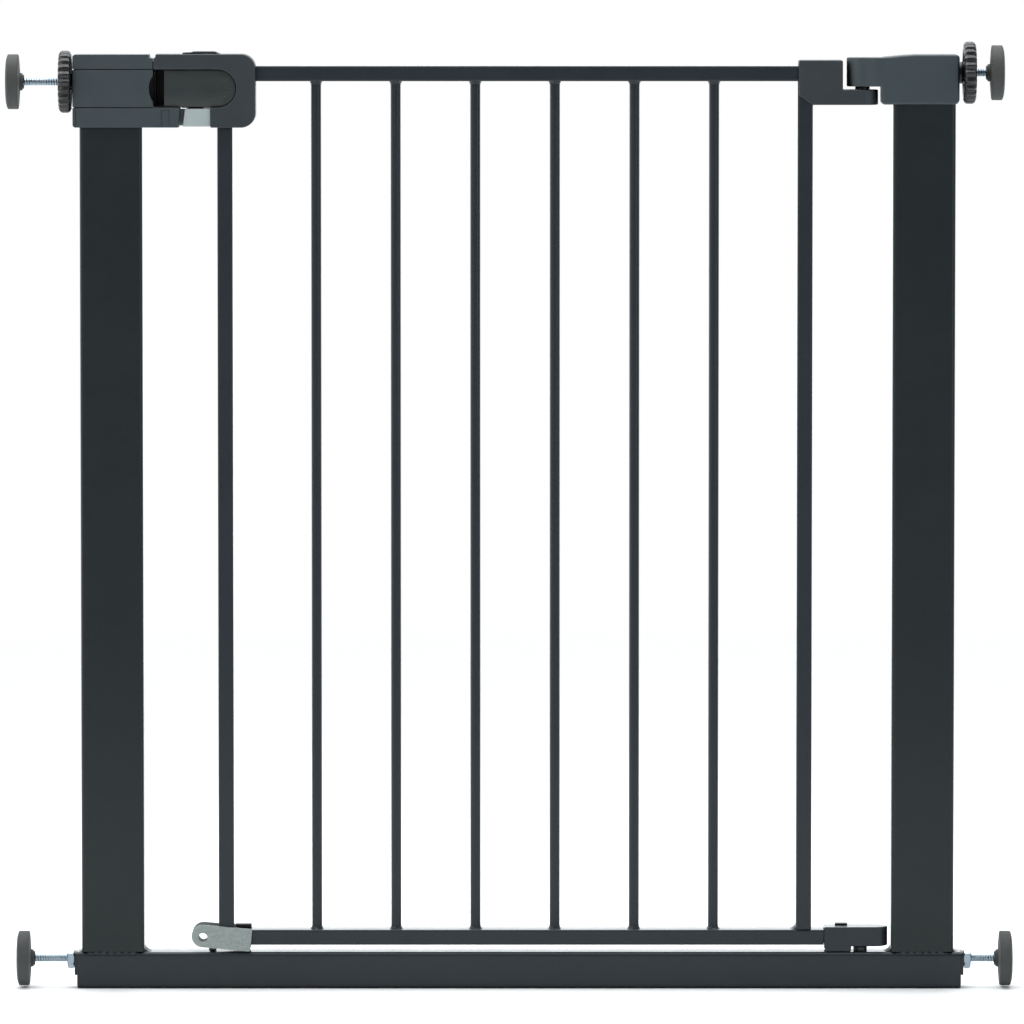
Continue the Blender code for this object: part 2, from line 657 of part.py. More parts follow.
def lower_hinge_bracket(part, tools, leaf):
    """A folded cover at the leaf's foot, and the slotted bush in it that turns on the floor pin."""
    left = BOTTOM_RAIL_RIGHT_X + GAP
    end_x = 0.2778
    radius = 0.011
    wall = 0.0015
    bottom = 0.0328
    top = 0.0479
    lip_bottom = 0.0288
    plan = knuckle_plan(end_x, radius, left)
    middle = (bottom + top) / 2
    bracket = extrusion("lower_hinge_bracket", [plan], top - bottom, UPRIGHT, (0, 0, middle))
    pocket_plan = knuckle_plan(end_x, radius - wall, left - 0.01)
    pocket_centre = (0, 0, (top - wall) - 0.015)
    cut(bracket, tools, extrusion("bracket_pocket", [pocket_plan], 0.03, UPRIGHT, pocket_centre))
    for side, name in ((-1, "front_lip"), (1, "rear_lip")):
        faces = sorted((side * (radius - 0.0001), side * (radius - wall + 0.0001)))
        join(bracket, tools, box(name, (0.2395, 0.258), faces, (lip_bottom, bottom + 0.004)))
    keep(bracket, "powder_coat", part, leaf)

    bush_radius = radius - wall - GAP
    slot_radius = HINGE_PIN_RADIUS + GAP
    slot_end = 0.2787
    bush_plan = knuckle_plan(end_x, bush_radius, 0.245)
    slot = arc(HINGE_X, 0, slot_radius, 90, 270, 8) + arc(slot_end, 0, slot_radius, -90, 90, 8)
    bush_bottom = 0.0325
    bush_top = top - wall - GAP
    bush_centre = (0, 0, (bush_bottom + bush_top) / 2)
    bush = extrusion("lower_hinge_bush", [bush_plan, slot], bush_top - bush_bottom, UPRIGHT, bush_centre)
    keep(bush, "dark_plastic", part, leaf)


# ---------------------------------------------------------------- handle


def recess_end(radius, start, end, steps=12):
    """The round right-hand end of the handle's recess, or a curve beside it."""
    return arc(RECESS_END_X, (TONGUE_TOP + HOLLOW_TOP) / 2, radius, start, end, steps)


def housing_outline(inset, closed_back):
    """The housing's front outline: a C open to the left or, for the back shell, filled across."""
    corner = HOUSING_CORNER - inset
    left = HOUSING_LEFT_X + inset
    right = HOUSING_RIGHT_X - inset
    bottom = HOUSING_BOTTOM + inset
    top = HOUSING_TOP - inset
    step_x = HOUSING_STEP_X + inset
    outline = [(step_x, bottom)]
    outline += arc(right - corner, bottom + corner, corner, -90, 0, 5)
    outline += arc(right - corner, top - corner, corner, 0, 90, 5)
    left_corner = 0.0025 if inset == 0 else 0.0008
    outline += arc(left + left_corner, top - left_corner, left_corner, 90, 180, 3)
    recess_radius = (HOLLOW_TOP - TONGUE_TOP) / 2
    if closed_back:
        over_tongue = TONGUE_TOP + 0.0006 + inset
        outline += [(left, over_tongue), (step_x, over_tongue)]
        return outline
    outline.append((left, HOLLOW_TOP + inset))
    outline += recess_end(recess_radius + inset, 90, -90)
    if inset == 0:
        outline.append((step_x, TONGUE_TOP))
    return outline


def housing_pockets(name, y):
    """Cutters for the stile and the rail inside the housing, and for the bolt's retracted end."""
    half_stile = STILE_WIDTH / 2 + GAP + 0.0001
    half_rail = RAIL_HEIGHT / 2 + GAP
    stile = (LATCH_STILE_X - half_stile, LATCH_STILE_X + half_stile)
    rail = (LATCH_STILE_X - half_stile, HOUSING_RIGHT_X + 0.005)
    rail_z = (TOP_RAIL_Z - half_rail, TOP_RAIL_Z + half_rail)
    bolt = (BOLT_RIGHT_X - GAP, BOLT_RIGHT_X + RELEASE_TRAVEL + 0.0012)
    bolt_half = BOLT_DEPTH / 2 + 0.0001
    bolt_y = (max(y[0], -bolt_half), min(y[1], bolt_half))
    leaf_half = LEAF_DEPTH / 2 + GAP
    leaf_y = (max(y[0], -leaf_half), min(y[1], leaf_half))
    below = HOUSING_BOTTOM - 0.01
    return [
        box(name + "_stile_pocket", stile, leaf_y, (below, TOP_RAIL_Z)),
        box(name + "_rail_pocket", rail, leaf_y, rail_z),
        box(name + "_bolt_pocket", bolt, bolt_y, (below, BOLT_TOP + GAP)),
    ]


def screw_bosses(name, y):
    depth = y[1] - y[0]
    bosses = []
    for number, z in enumerate(HOUSING_SCREWS.values()):
        centre = (HOUSING_SCREW_X, (y[0] + y[1]) / 2, z)
        bosses.append(cylinder(f"{name}_boss_{number}", 0.0036, depth, TO_BACK, centre, 20))
    return bosses


def screw_bores(name, radius, y):
    depth = y[1] - y[0]
    bores = []
    for number, z in enumerate(HOUSING_SCREWS.values()):
        centre = (HOUSING_SCREW_X, (y[0] + y[1]) / 2, z)
        bores.append(cylinder(f"{name}_bore_{number}", radius, depth, TO_BACK, centre, 16))
    return bores


def handle_housing_front(part, tools, leaf):
    half = HOUSING_DEPTH / 2
    split = -GAP / 2
    name = "handle_housing_front"
    shell = extrusion(name, [housing_outline(0, False)], half + split, FACING, (0, (split - half) / 2, 0))
    soften(shell, EDGE_RADIUS)
    inside = half - HOUSING_WALL
    cavity_depth = inside + 0.001
    cavity_centre = (0, 0.001 - cavity_depth / 2, 0)
    cavity_outline = housing_outline(HOUSING_WALL * 0.85, False)
    cut(shell, tools, extrusion("front_cavity", [cavity_outline], cavity_depth, FACING, cavity_centre))
    join(shell, tools, *screw_bosses("front", (-inside - 0.001, split - 0.0002)))
    cut(shell, tools, *housing_pockets("front", (-half, 0.001)))
    cut(shell, tools, *screw_bores("front", 0.0016, (-0.0105, 0.001)))
    keep(shell, "housing_plastic", part, leaf)


def handle_housing_rear(part, tools, leaf):
    half = HOUSING_DEPTH / 2
    split = GAP / 2
    name = "handle_housing_rear"
    shell = extrusion(name, [housing_outline(0, True)], half - split, FACING, (0, (split + half) / 2, 0))
    soften(shell, EDGE_RADIUS)
    inside = half - HOUSING_WALL
    cavity_depth = inside + 0.001
    cavity_centre = (0, cavity_depth / 2 - 0.001, 0)
    cavity_outline = housing_outline(HOUSING_WALL * 0.85, True)
    cut(shell, tools, extrusion("rear_cavity", [cavity_outline], cavity_depth, FACING, cavity_centre))
    join(shell, tools, *screw_bosses("rear", (split + 0.0002, inside + 0.001)))
    post_x = (SPRING_POST_RIGHT_X - 0.0025, SPRING_POST_RIGHT_X)
    spring_post = box("spring_post", post_x, (-0.0085, inside + 0.001), (0.699, 0.709))
    join(shell, tools, spring_post)
    cut(shell, tools, *housing_pockets("rear", (-0.001, half)))
    cut(shell, tools, *screw_bores("rear", 0.0017, (-0.001, half + 0.001)))
    cut(shell, tools, *screw_bores("rear_head", 0.0034, (half - HEAD_RECESS, half + 0.002)))
    slot_y = (LINK_FRONT_Y - 0.0008, LINK_BACK_Y + 0.0008)
    link_slot = (LINK_LEFT_X - 0.0015, LINK_RIGHT_X + RELEASE_TRAVEL + 0.0012)
    stem_slot = (STEM_LEFT_X - 0.0005, STEM_RIGHT_X + RELEASE_TRAVEL + 0.0005)
    cut(
        shell,
        tools,
        box("link_slot", link_slot, slot_y, (TONGUE_TOP - 0.001, TONGUE_TOP + 0.005)),
        box("stem_slot", stem_slot, slot_y, (HOUSING_TOP - 0.004, HOUSING_TOP + 0.002)),
    )
    keep(shell, "housing_plastic", part, leaf)


def housing_screws(part, leaf):
    seat = HOUSING_DEPTH / 2 - HEAD_RECESS + GAP
    head = 0.003
    shank = 0.0013
    tip = -0.0098
    for name, z in HOUSING_SCREWS.items():
        profile = [(0, seat + 0.0016), (head, seat + 0.0014), (head, seat), (shank, seat)]
        profile += [(shank, tip + 0.0008), (0, tip)]
        screw = turned(name, profile, TO_BACK, (HOUSING_SCREW_X, 0, z), 16)
        keep(screw, "zinc", part, leaf)


def spring(name, centre_y, centre_z, left, right, part, parent):
    """A compression spring along X, as a wire on a helix."""
    radius = 0.0023
    wire = 0.0003
    turns = 6
    per_turn = 8
    curve = bpy.data.curves.new(name, "CURVE")
    curve.dimensions = "3D"
    curve.bevel_depth = wire
    curve.bevel_resolution = 1
    curve.use_fill_caps = True
    points = curve.splines.new("POLY").points
    count = turns * per_turn
    points.add(count)
    for number, point in enumerate(points):
        angle = 2 * math.pi * number / per_turn
        x = left + wire + (right - left - 2 * wire) * number / count
        point.co = (x, centre_y + radius * math.cos(angle), centre_z + radius * math.sin(angle), 1)
    keep(bpy.data.objects.new(name, curve), "zinc", part, parent)


def latch_bolt(part, tools, release):
    """The light bolt under the handle. Its nose sits in the keeper's slot; a link rises to the button."""
    edge = 0.0008
    front = [(BOLT_LEFT_X, BOLT_BOTTOM), (BOLT_RIGHT_X, BOLT_BOTTOM), (BOLT_RIGHT_X, BOLT_TOP)]
    front += [(BOLT_LEFT_X + 0.004, BOLT_TOP), (BOLT_LEFT_X, BOLT_TOP - 0.002)]
    bolt = soften(extrusion("latch_bolt", [front], BOLT_DEPTH, FACING), edge)
    nose_half = KEEPER_SLOT_HALF_WIDTH - 0.0008
    nose = box("bolt_nose", (TONGUE_END_X - 0.0038, -0.255), (-nose_half, nose_half), (0.6775, 0.6861))
    link_y = (LINK_FRONT_Y, LINK_BACK_Y)
    link = box("bolt_link", (LINK_LEFT_X, LINK_RIGHT_X), link_y, (BOLT_TOP - 0.0072, LINK_TOP))
    join(bolt, tools, soften(nose, edge), link)
    keep(bolt, "light_plastic", part, release)


def thumb_button(part, tools, release):
    """The low button on top of the housing, stepped at its left end."""
    base = HOUSING_TOP + GAP
    outline = [(-0.2622, base), (-0.2325, base), (-0.2337, base + 0.001), (-0.236, base + 0.0018)]
    outline += [(-0.2548, base + 0.0018), (-0.2562, base + 0.001), (-0.2616, base + 0.0008)]
    width = 0.017
    button = extrusion("thumb_button", [outline], width, FACING)
    stem_y = (LINK_FRONT_Y, LINK_BACK_Y)
    stem = box("button_stem", (STEM_LEFT_X, STEM_RIGHT_X), stem_y, (LINK_TOP + GAP, base + 0.0006))
    join(button, tools, stem)
    keep(button, "housing_plastic", part, release)


def lock_slider(part, tools, slider):
    """The flat lever that fills the recess and slides left into the finger hollow."""
    middle = (TONGUE_TOP + HOLLOW_TOP) / 2
    radius = (HOLLOW_TOP - TONGUE_TOP) / 2 - SLIDER_SIDE_GAP
    outline = recess_end(radius, -90, 90)
    outline += [(SLIDER_LEFT_X, middle + radius), (SLIDER_LEFT_X, middle - radius)]
    thickness = SLIDER_BACK_Y - SLIDER_FRONT_Y
    centre = (0, (SLIDER_BACK_Y + SLIDER_FRONT_Y) / 2, 0)
    plate = soften(extrusion("lock_slider", [outline], thickness, FACING, centre), 0.0006)
    lug = box("slider_lug", (LUG_LEFT_X, LUG_LEFT_X + 0.003), (-0.0115, -0.002), (0.7, 0.708))
    join(plate, tools, lug)
    keep(plate, "lever_plastic", part, slider)


# ---------------------------------------------------------------- wall fittings


def wall_pad_profile():
    """From the flat face that meets the wall, round the rim, to the socket for the spindle."""
    rim = PAD_RADIUS
    profile = [(0, 0), (0.0145, 0), (0.0192, -0.0004), (rim - 0.0005, -0.001), (rim, -0.0018)]
    profile += [(rim, -0.0084), (rim - 0.0006, -0.0092), (0.0165, -0.0102), (0.008, -0.0112)]
    bore = SPINDLE_RADIUS + GAP
    bore_end = GAP - SPINDLE_SEAT
    hub_end = -0.014
    profile += [(0.0064, -0.0124), (0.0056, hub_end), (bore, hub_end), (bore, bore_end), (0, bore_end)]
    return profile


def wheel_outline():
    """The hand wheel's rim, scalloped so that it has finger ribs."""
    points = []
    per_rib = 4
    depth = 0.0006
    count = WHEEL_RIBS * per_rib
    for step in range(count):
        angle = 2 * math.pi * step / count
        radius = WHEEL_RADIUS - depth + depth * math.cos(WHEEL_RIBS * angle)
        points.append((radius * math.cos(angle), radius * math.sin(angle)))
    return points


def wall_fitting(corner, seat_x, z, part):
    """One spindle and its wall pad, and the wheel or nut that drives it."""
    face_x = PAD_FACES[corner]
    outward = math.copysign(1, face_x)
    basis = TO_LEFT if outward < 0 else TO_RIGHT
    slide = joint_empty(f"{corner}_spindle_slide", (face_x, 0, z), part)
    pad = turned(f"wall_pad_{corner}", wall_pad_profile(), basis, (face_x, 0, z), 24)
    keep(pad, "pad_rubber", part, slide)
    start = face_x - outward * SPINDLE_SEAT
    middle = (start - outward * SPINDLE_LENGTH / 2, 0, z)
    spindle = cylinder(f"spindle_{corner}", SPINDLE_RADIUS, SPINDLE_LENGTH, basis, middle, 16)
    keep(soften(spindle, 0.0006, 1), "zinc", part, slide)

    turn = joint_empty(f"{corner}_turn", (seat_x, 0, z), part)
    bore = circle(SPINDLE_RADIUS + GAP, 16)
    if corner.startswith("top"):
        centre = (seat_x + outward * WHEEL_THICKNESS / 2, 0, z)
        wheel = extrusion(f"hand_wheel_{corner}", [wheel_outline(), bore], WHEEL_THICKNESS, basis, centre)
        keep(wheel, "dark_plastic", part, turn)
        return
    corner_radius = NUT_FLATS / math.sqrt(3)
    centre = (seat_x + outward * NUT_THICKNESS / 2, 0, z)
    hexagon = arc(0, 0, corner_radius, 90, 450, 6)[:-1]
    nut = extrusion(f"hex_nut_{corner}", [hexagon, bore], NUT_THICKNESS, basis, centre)
    keep(nut, "zinc", part, turn)


# ---------------------------------------------------------------- assembly


def build():
    clear_scene()
    part = new_collection("safety_gate")
    tools = new_collection("cutters")

    threshold_bar(part)
    post("left_post", LEFT_POST_X, -1, TOP_LEFT_SPINDLE_Z, part, tools)
    post("right_post", RIGHT_POST_X, 1, TOP_RIGHT_SPINDLE_Z, part, tools)
    left_post_cap(part, tools)
    right_post_cap(part, tools)
    cap_screws(part)
    spindle_bush(
        "spindle_bush_top_left", LEFT_CAP_OUTER_X, TOP_LEFT_SPINDLE_Z, LEFT_BUSH_FLANGE, TO_LEFT, part
    )
    spindle_bush(
        "spindle_bush_top_right", RIGHT_CAP_OUTER_X, TOP_RIGHT_SPINDLE_Z, RIGHT_BUSH_FLANGE, TO_RIGHT, part
    )
    threshold_plug("threshold_plug_left", -1, TO_LEFT, part, tools)
    threshold_plug("threshold_plug_right", 1, TO_RIGHT, part, tools)
    floor_stop_tab(part)
    hinge_pins(part)

    swing = joint_empty("leaf_swing", (HINGE_X, 0, 0), part)
    lift = joint_empty("leaf_lift", (HINGE_X, 0, HINGE_Z), part, swing)
    upper_hinge_bush(part, swing)
    rails(part, tools, lift)
    uprights(part, lift)
    latch_bracket(part, tools, lift)
    upper_hinge_block(part, tools, lift)
    lower_hinge_bracket(part, tools, lift)
    handle_housing_front(part, tools, lift)
    handle_housing_rear(part, tools, lift)
    housing_screws(part, lift)

    release = joint_empty("release_slide", (BOLT_LEFT_X, 0, TONGUE_TOP), part, lift)
    latch_bolt(part, tools, release)
    thumb_button(part, tools, release)
    stile_left = LATCH_STILE_X - STILE_WIDTH / 2
    spring("bolt_spring", 0.004, 0.7, LINK_RIGHT_X + GAP, stile_left - GAP, part, release)
    slider = joint_empty("slider_slide", (SLIDER_LEFT_X, 0, TONGUE_TOP), part, lift)
    lock_slider(part, tools, slider)
    spring("slider_spring", -0.0055, 0.704, SPRING_POST_RIGHT_X + GAP, LUG_LEFT_X - GAP, part, slider)

    bush_left = LEFT_CAP_OUTER_X - LEFT_BUSH_FLANGE - GAP
    bush_right = RIGHT_CAP_OUTER_X + RIGHT_BUSH_FLANGE + GAP
    plug_end = THRESHOLD_LENGTH / 2 + PLUG_BOSS + GAP
    wall_fitting("top_left", bush_left, TOP_LEFT_SPINDLE_Z, part)
    wall_fitting("top_right", bush_right, TOP_RIGHT_SPINDLE_Z, part)
    wall_fitting("bottom_left", -plug_end, BOTTOM_SPINDLE_Z, part)
    wall_fitting("bottom_right", plug_end, BOTTOM_SPINDLE_Z, part)


build()
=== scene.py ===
"""The looks of a pressure-fit safety gate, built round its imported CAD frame.

Units are metres. X runs along the gate towards the hinge post, -Y is the front, and +Z is up.
Each CAD node that shows is replaced by a finer piece of the same size that rides on the same body.
"""

import json
from math import cos, pi, radians, sin, sqrt

import bpy
from mathutils import Matrix, Vector, noise


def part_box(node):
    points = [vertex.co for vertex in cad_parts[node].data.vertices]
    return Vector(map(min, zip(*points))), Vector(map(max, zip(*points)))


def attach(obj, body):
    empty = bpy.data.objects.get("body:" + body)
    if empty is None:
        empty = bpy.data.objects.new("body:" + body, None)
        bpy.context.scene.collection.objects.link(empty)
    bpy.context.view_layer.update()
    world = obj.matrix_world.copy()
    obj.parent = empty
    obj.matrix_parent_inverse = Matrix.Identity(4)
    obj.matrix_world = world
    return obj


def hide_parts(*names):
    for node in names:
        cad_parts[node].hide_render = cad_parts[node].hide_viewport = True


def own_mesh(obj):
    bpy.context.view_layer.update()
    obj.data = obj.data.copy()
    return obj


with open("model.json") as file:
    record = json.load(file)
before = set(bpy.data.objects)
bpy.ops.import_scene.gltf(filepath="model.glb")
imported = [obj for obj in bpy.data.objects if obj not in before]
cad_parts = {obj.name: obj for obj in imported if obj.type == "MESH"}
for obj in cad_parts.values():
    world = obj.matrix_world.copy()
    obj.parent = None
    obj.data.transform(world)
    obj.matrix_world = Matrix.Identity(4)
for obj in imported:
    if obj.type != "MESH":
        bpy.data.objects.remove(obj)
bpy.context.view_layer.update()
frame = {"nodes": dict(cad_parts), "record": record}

BODY_OF = {node: body for body, nodes in frame["record"]["behaviour"]["bodies"].items() for node in nodes}

# Directions of a piece's own x, y and z axes
UPRIGHT = Matrix.Identity(4)
FACING = Matrix(((1, 0, 0, 0), (0, 0, -1, 0), (0, 1, 0, 0), (0, 0, 0, 1)))
TO_RIGHT = Matrix(((0, 0, 1, 0), (1, 0, 0, 0), (0, 1, 0, 0), (0, 0, 0, 1)))
TO_LEFT = Matrix(((0, 0, -1, 0), (1, 0, 0, 0), (0, -1, 0, 0), (0, 0, 0, 1)))
TO_BACK = Matrix(((1, 0, 0, 0), (0, 0, 1, 0), (0, -1, 0, 0), (0, 0, 0, 1)))

GAP = 0.0003
MERGE_DISTANCE = 0.000005


class Extent:
    """The extent of a CAD node at rest."""

    def __init__(self, node):
        low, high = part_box(node)
        self.left, self.front, self.bottom = low
        self.right, self.back, self.top = high
        self.middle = (low + high) / 2
        self.width, self.depth, self.height = high - low


# ---------------- sizes

KEEPER = Extent("left_post_cap")
HINGE_CAP = Extent("right_post_cap")
HOUSING = Extent("handle_housing_front")
REAR_SHELL = Extent("handle_housing_rear")
LEVER = Extent("lock_slider")
BOLT = Extent("latch_bolt")
BUTTON = Extent("thumb_button")
THRESHOLD = Extent("threshold_bar")
LEFT_POST = Extent("left_post")
RIGHT_POST = Extent("right_post")
TOP_RAIL = Extent("top_rail")
BOTTOM_RAIL = Extent("bottom_rail")
LATCH_STILE = Extent("latch_stile")
HINGE_STILE = Extent("hinge_stile")
HINGE_BLOCK = Extent("upper_hinge_block")
HINGE_PIN = Extent("upper_hinge_pin")
LATCH_BRACKET = Extent("latch_bracket")
HINGE_BRACKET = Extent("lower_hinge_bracket")
HINGE_X = HINGE_PIN.middle.x

# The lever clears the recess that it runs in by this much all round
CLEARANCE = 0.0006
TONGUE_TOP = LEVER.bottom - CLEARANCE
HOLLOW_TOP = LEVER.top + CLEARANCE
RECESS_RADIUS = (HOLLOW_TOP - TONGUE_TOP) / 2
RECESS_END_X = LEVER.right + CLEARANCE - RECESS_RADIUS
HOLLOW_Z = (HOLLOW_TOP + TONGUE_TOP) / 2
KEEPER_BODY_RIGHT = HOUSING.left - 2 * GAP
EDGE_RADIUS = 0.0012
SOFT_EDGE_STEPS = 4

# Tubes: wall thickness and outer corner radius
FRAME_WALL = 0.0015
FRAME_CORNER = 0.0035
LEAF_WALL = 0.0012
RAIL_CORNER = 0.0015
STILE_CORNER = 0.002
BAR_WALL = 0.0009

# Caps: the cutters for the spindle's bush and for the screw at the back
BUSH_HOLE_RADIUS = 0.0063
SCREW_HOLE_RADIUS = 0.0018
CAP_SCREW_Z = 0.7045

# Upper hinge: the hole for its bush, the hinge block's shoulder, and where the cap's body begins
HINGE_BUSH_HOLE_RADIUS = 0.0052
SHOULDER_Z = Extent("upper_hinge_bush").top - 0.0021
SHOULDER_X = HINGE_CAP.left - 0.0032
HINGE_CAP_BODY_LEFT = HINGE_BLOCK.right + 0.002

# Handle: its wall, where its lower edge steps up over the bolt, and the link from bolt to button
SHELL_WALL = 0.002
STEP_X = BOLT.right + 0.0001
LINK_X = (-0.258, -0.2462)
STEM_X = (-0.256, -0.2475)
LINK_Y = (0.002, 0.006)
HOUSING_SCREWS = ("housing_screw_upper", "housing_screw_lower")
CAP_SCREWS = ("left_cap_screw", "right_cap_screw")

# Everything that a spindle passes through has this inner radius
SPINDLE_BORE = 0.0033

BARS = sorted(node for node in frame["nodes"] if node.startswith("bar_"))


# ---------------- outlines


def arc(centre_x, centre_y, radius, start, end, steps):
    """Points on an arc, from the start angle to the end angle in degrees."""
    points = []
    for step in range(steps + 1):
        angle = radians(start + (end - start) * step / steps)
        points.append((centre_x + radius * cos(angle), centre_y + radius * sin(angle)))
    return points


def circle(radius, steps, x=0.0, y=0.0):
    return arc(x, y, radius, 0, 360, steps)[:-1]


def rounded_rectangle(left, right, bottom, top, radius, steps=6):
    points = arc(right - radius, bottom + radius, radius, -90, 0, steps)
    points += arc(right - radius, top - radius, radius, 0, 90, steps)
    points += arc(left + radius, top - radius, radius, 90, 180, steps)
    points += arc(left + radius, bottom + radius, radius, 180, 270, steps)
    return points


def knuckle_plan(centre_x, radius, other_x):
    """A plan outline with a half-round end about centre_x that runs straight to other_x."""
    steps = 24
    if other_x < centre_x:
        return [(other_x, -radius), *arc(centre_x, 0, radius, -90, 90, steps), (other_x, radius)]
    return [(other_x, radius), *arc(centre_x, 0, radius, 90, 270, steps), (other_x, -radius)]


# ---------------- meshes


def new_object(name, mesh, basis, centre):
    obj = bpy.data.objects.new(name, mesh)
    obj.matrix_world = Matrix.Translation(centre) @ basis
    bpy.context.scene.collection.objects.link(obj)
    return obj


def final_mesh(obj):
    """A new mesh of an object's shape with its modifiers applied."""
    bpy.context.view_layer.update()
    graph = bpy.context.evaluated_depsgraph_get()
    return bpy.data.meshes.new_from_object(obj.evaluated_get(graph))


def apply_modifiers(obj):
    mesh = final_mesh(obj)
    obj.modifiers.clear()
    obj.data = mesh
    return obj


def prism(name, outlines, depth, basis=UPRIGHT, centre=(0, 0, 0)):
    """An outline, with any holes in it, extruded evenly both ways from its plane."""
    curve = bpy.data.curves.new(name, "CURVE")
    curve.dimensions = "2D"
    curve.fill_mode = "BOTH"
    curve.extrude = depth / 2
    for outline in outlines:
        spline = curve.splines.new("POLY")
        spline.points.add(len(outline) - 1)
        for point, place in zip(spline.points, outline):
            point.co = (*place, 0, 1)
        spline.use_cyclic_u = True
    guide = new_object(name + "_guide", curve, UPRIGHT, (0, 0, 0))
    mesh = final_mesh(guide)
    bpy.data.objects.remove(guide)
    obj = new_object(name, mesh, basis, centre)
    weld = obj.modifiers.new("weld", "WELD")
    weld.merge_threshold = MERGE_DISTANCE
    flat = obj.modifiers.new("flat", "DECIMATE")
    flat.decimate_type = "DISSOLVE"
    flat.angle_limit = radians(0.3)
    return apply_modifiers(obj)


def slab(name, outline, y):
    """An outline seen from the front, as thick as from one y value to the other."""
    return prism(name, [outline], y[1] - y[0], FACING, (0, (y[0] + y[1]) / 2, 0))


def block(name, x, y, z):
    """A box between the two values given for each axis, as a cutter or a rib."""
    return slab(name, [(x[0], z[0]), (x[1], z[0]), (x[1], z[1]), (x[0], z[1])], y)


def rod(name, radius, length, basis, centre, steps=32):
    return prism(name, [circle(radius, steps)], length, basis, centre)


def loft(name, rings, basis=UPRIGHT, centre=(0, 0, 0), joined=False):
    """A skin over equal closed rings of points, capped at its ends or joined into a loop."""
    count = len(rings[0])
    points = [point for ring in rings for point in ring]
    faces = []
    for row in range(len(rings) if joined else len(rings) - 1):
        here = row * count
        there = (row + 1) % len(rings) * count
        for i in range(count):
            j = (i + 1) % count
            faces.append((here + i, here + j, there + j, there + i))
    if not joined:
        faces.append(tuple(reversed(range(count))))
        faces.append(tuple(range(len(points) - count, len(points))))
    mesh = bpy.data.meshes.new(name)
    mesh.from_pydata(points, [], faces)
    return new_object(name, mesh, basis, centre)


def lathe(name, profile, basis, centre, steps=48):
    """A closed profile of (radius, height) points turned about local z; points on the axis close it."""
    mesh = bpy.data.meshes.new(name)
    edges = [(i, i + 1) for i in range(len(profile) - 1)]
    if profile[0][0] > 0:
        edges.append((len(profile) - 1, 0))
    mesh.from_pydata([(radius, 0, height) for radius, height in profile], edges, [])
    obj = new_object(name, mesh, basis, centre)
    turn = obj.modifiers.new("turn", "SCREW")
    turn.steps = steps
    turn.render_steps = steps
    turn.use_merge_vertices = True
    turn.merge_threshold = MERGE_DISTANCE
    return apply_modifiers(obj)


def soften(obj, width, segments=3, angle=40):
    bevel = obj.modifiers.new("soft_edges", "BEVEL")
    bevel.width = width
    bevel.segments = segments
    bevel.limit_method = "ANGLE"
    bevel.angle_limit = radians(angle)
    return apply_modifiers(obj)


def combine(obj, operation, others):
    for other in others:
        modifier = obj.modifiers.new(other.name, "BOOLEAN")
        modifier.operation = operation
        modifier.object = other
    apply_modifiers(obj)
    for other in others:
        bpy.data.objects.remove(other)
    return obj


def carve(obj, *cutters):
    return combine(obj, "DIFFERENCE", cutters)


def fuse(obj, *others):
    return combine(obj, "UNION", others)


def gather(name, objects):
    """Separate bodies kept together as one piece."""
    points = []
    faces = []
    for obj in objects:
        start = len(points)
        points += [obj.matrix_world @ vertex.co for vertex in obj.data.vertices]
        faces += [[start + i for i in polygon.vertices] for polygon in obj.data.polygons]
        bpy.data.objects.remove(obj)
    mesh = bpy.data.meshes.new(name)
    mesh.from_pydata(points, [], faces)
    return new_object(name, mesh, UPRIGHT, (0, 0, 0))


def shade(obj):
    obj.data.shade_smooth()
    obj.data.set_sharp_from_angle(angle=radians(32))
    weighted = obj.modifiers.new("even_faces", "WEIGHTED_NORMAL")
    weighted.keep_sharp = True
    weighted.weight = 80


# ---------------- materials


def linear(colour):
    """A colour given as 0-255 screen values, as the linear values that a shader takes."""
    values = [value / 255 for value in colour]
    return [value / 12.92 if value <= 0.04045 else ((value + 0.055) / 1.055) ** 2.4 for value in values]


def add_node(tree, kind, values=None, **settings):
    """A node with its settings, and its inputs set to values or wired to other nodes' sockets."""
    made = tree.nodes.new("ShaderNode" + kind)
    for key, value in settings.items():
        setattr(made, key, value)
    for key, value in (values or {}).items():
        if isinstance(value, bpy.types.NodeSocket):
            tree.links.new(value, made.inputs[key])
        else:
            made.inputs[key].default_value = value
    return made


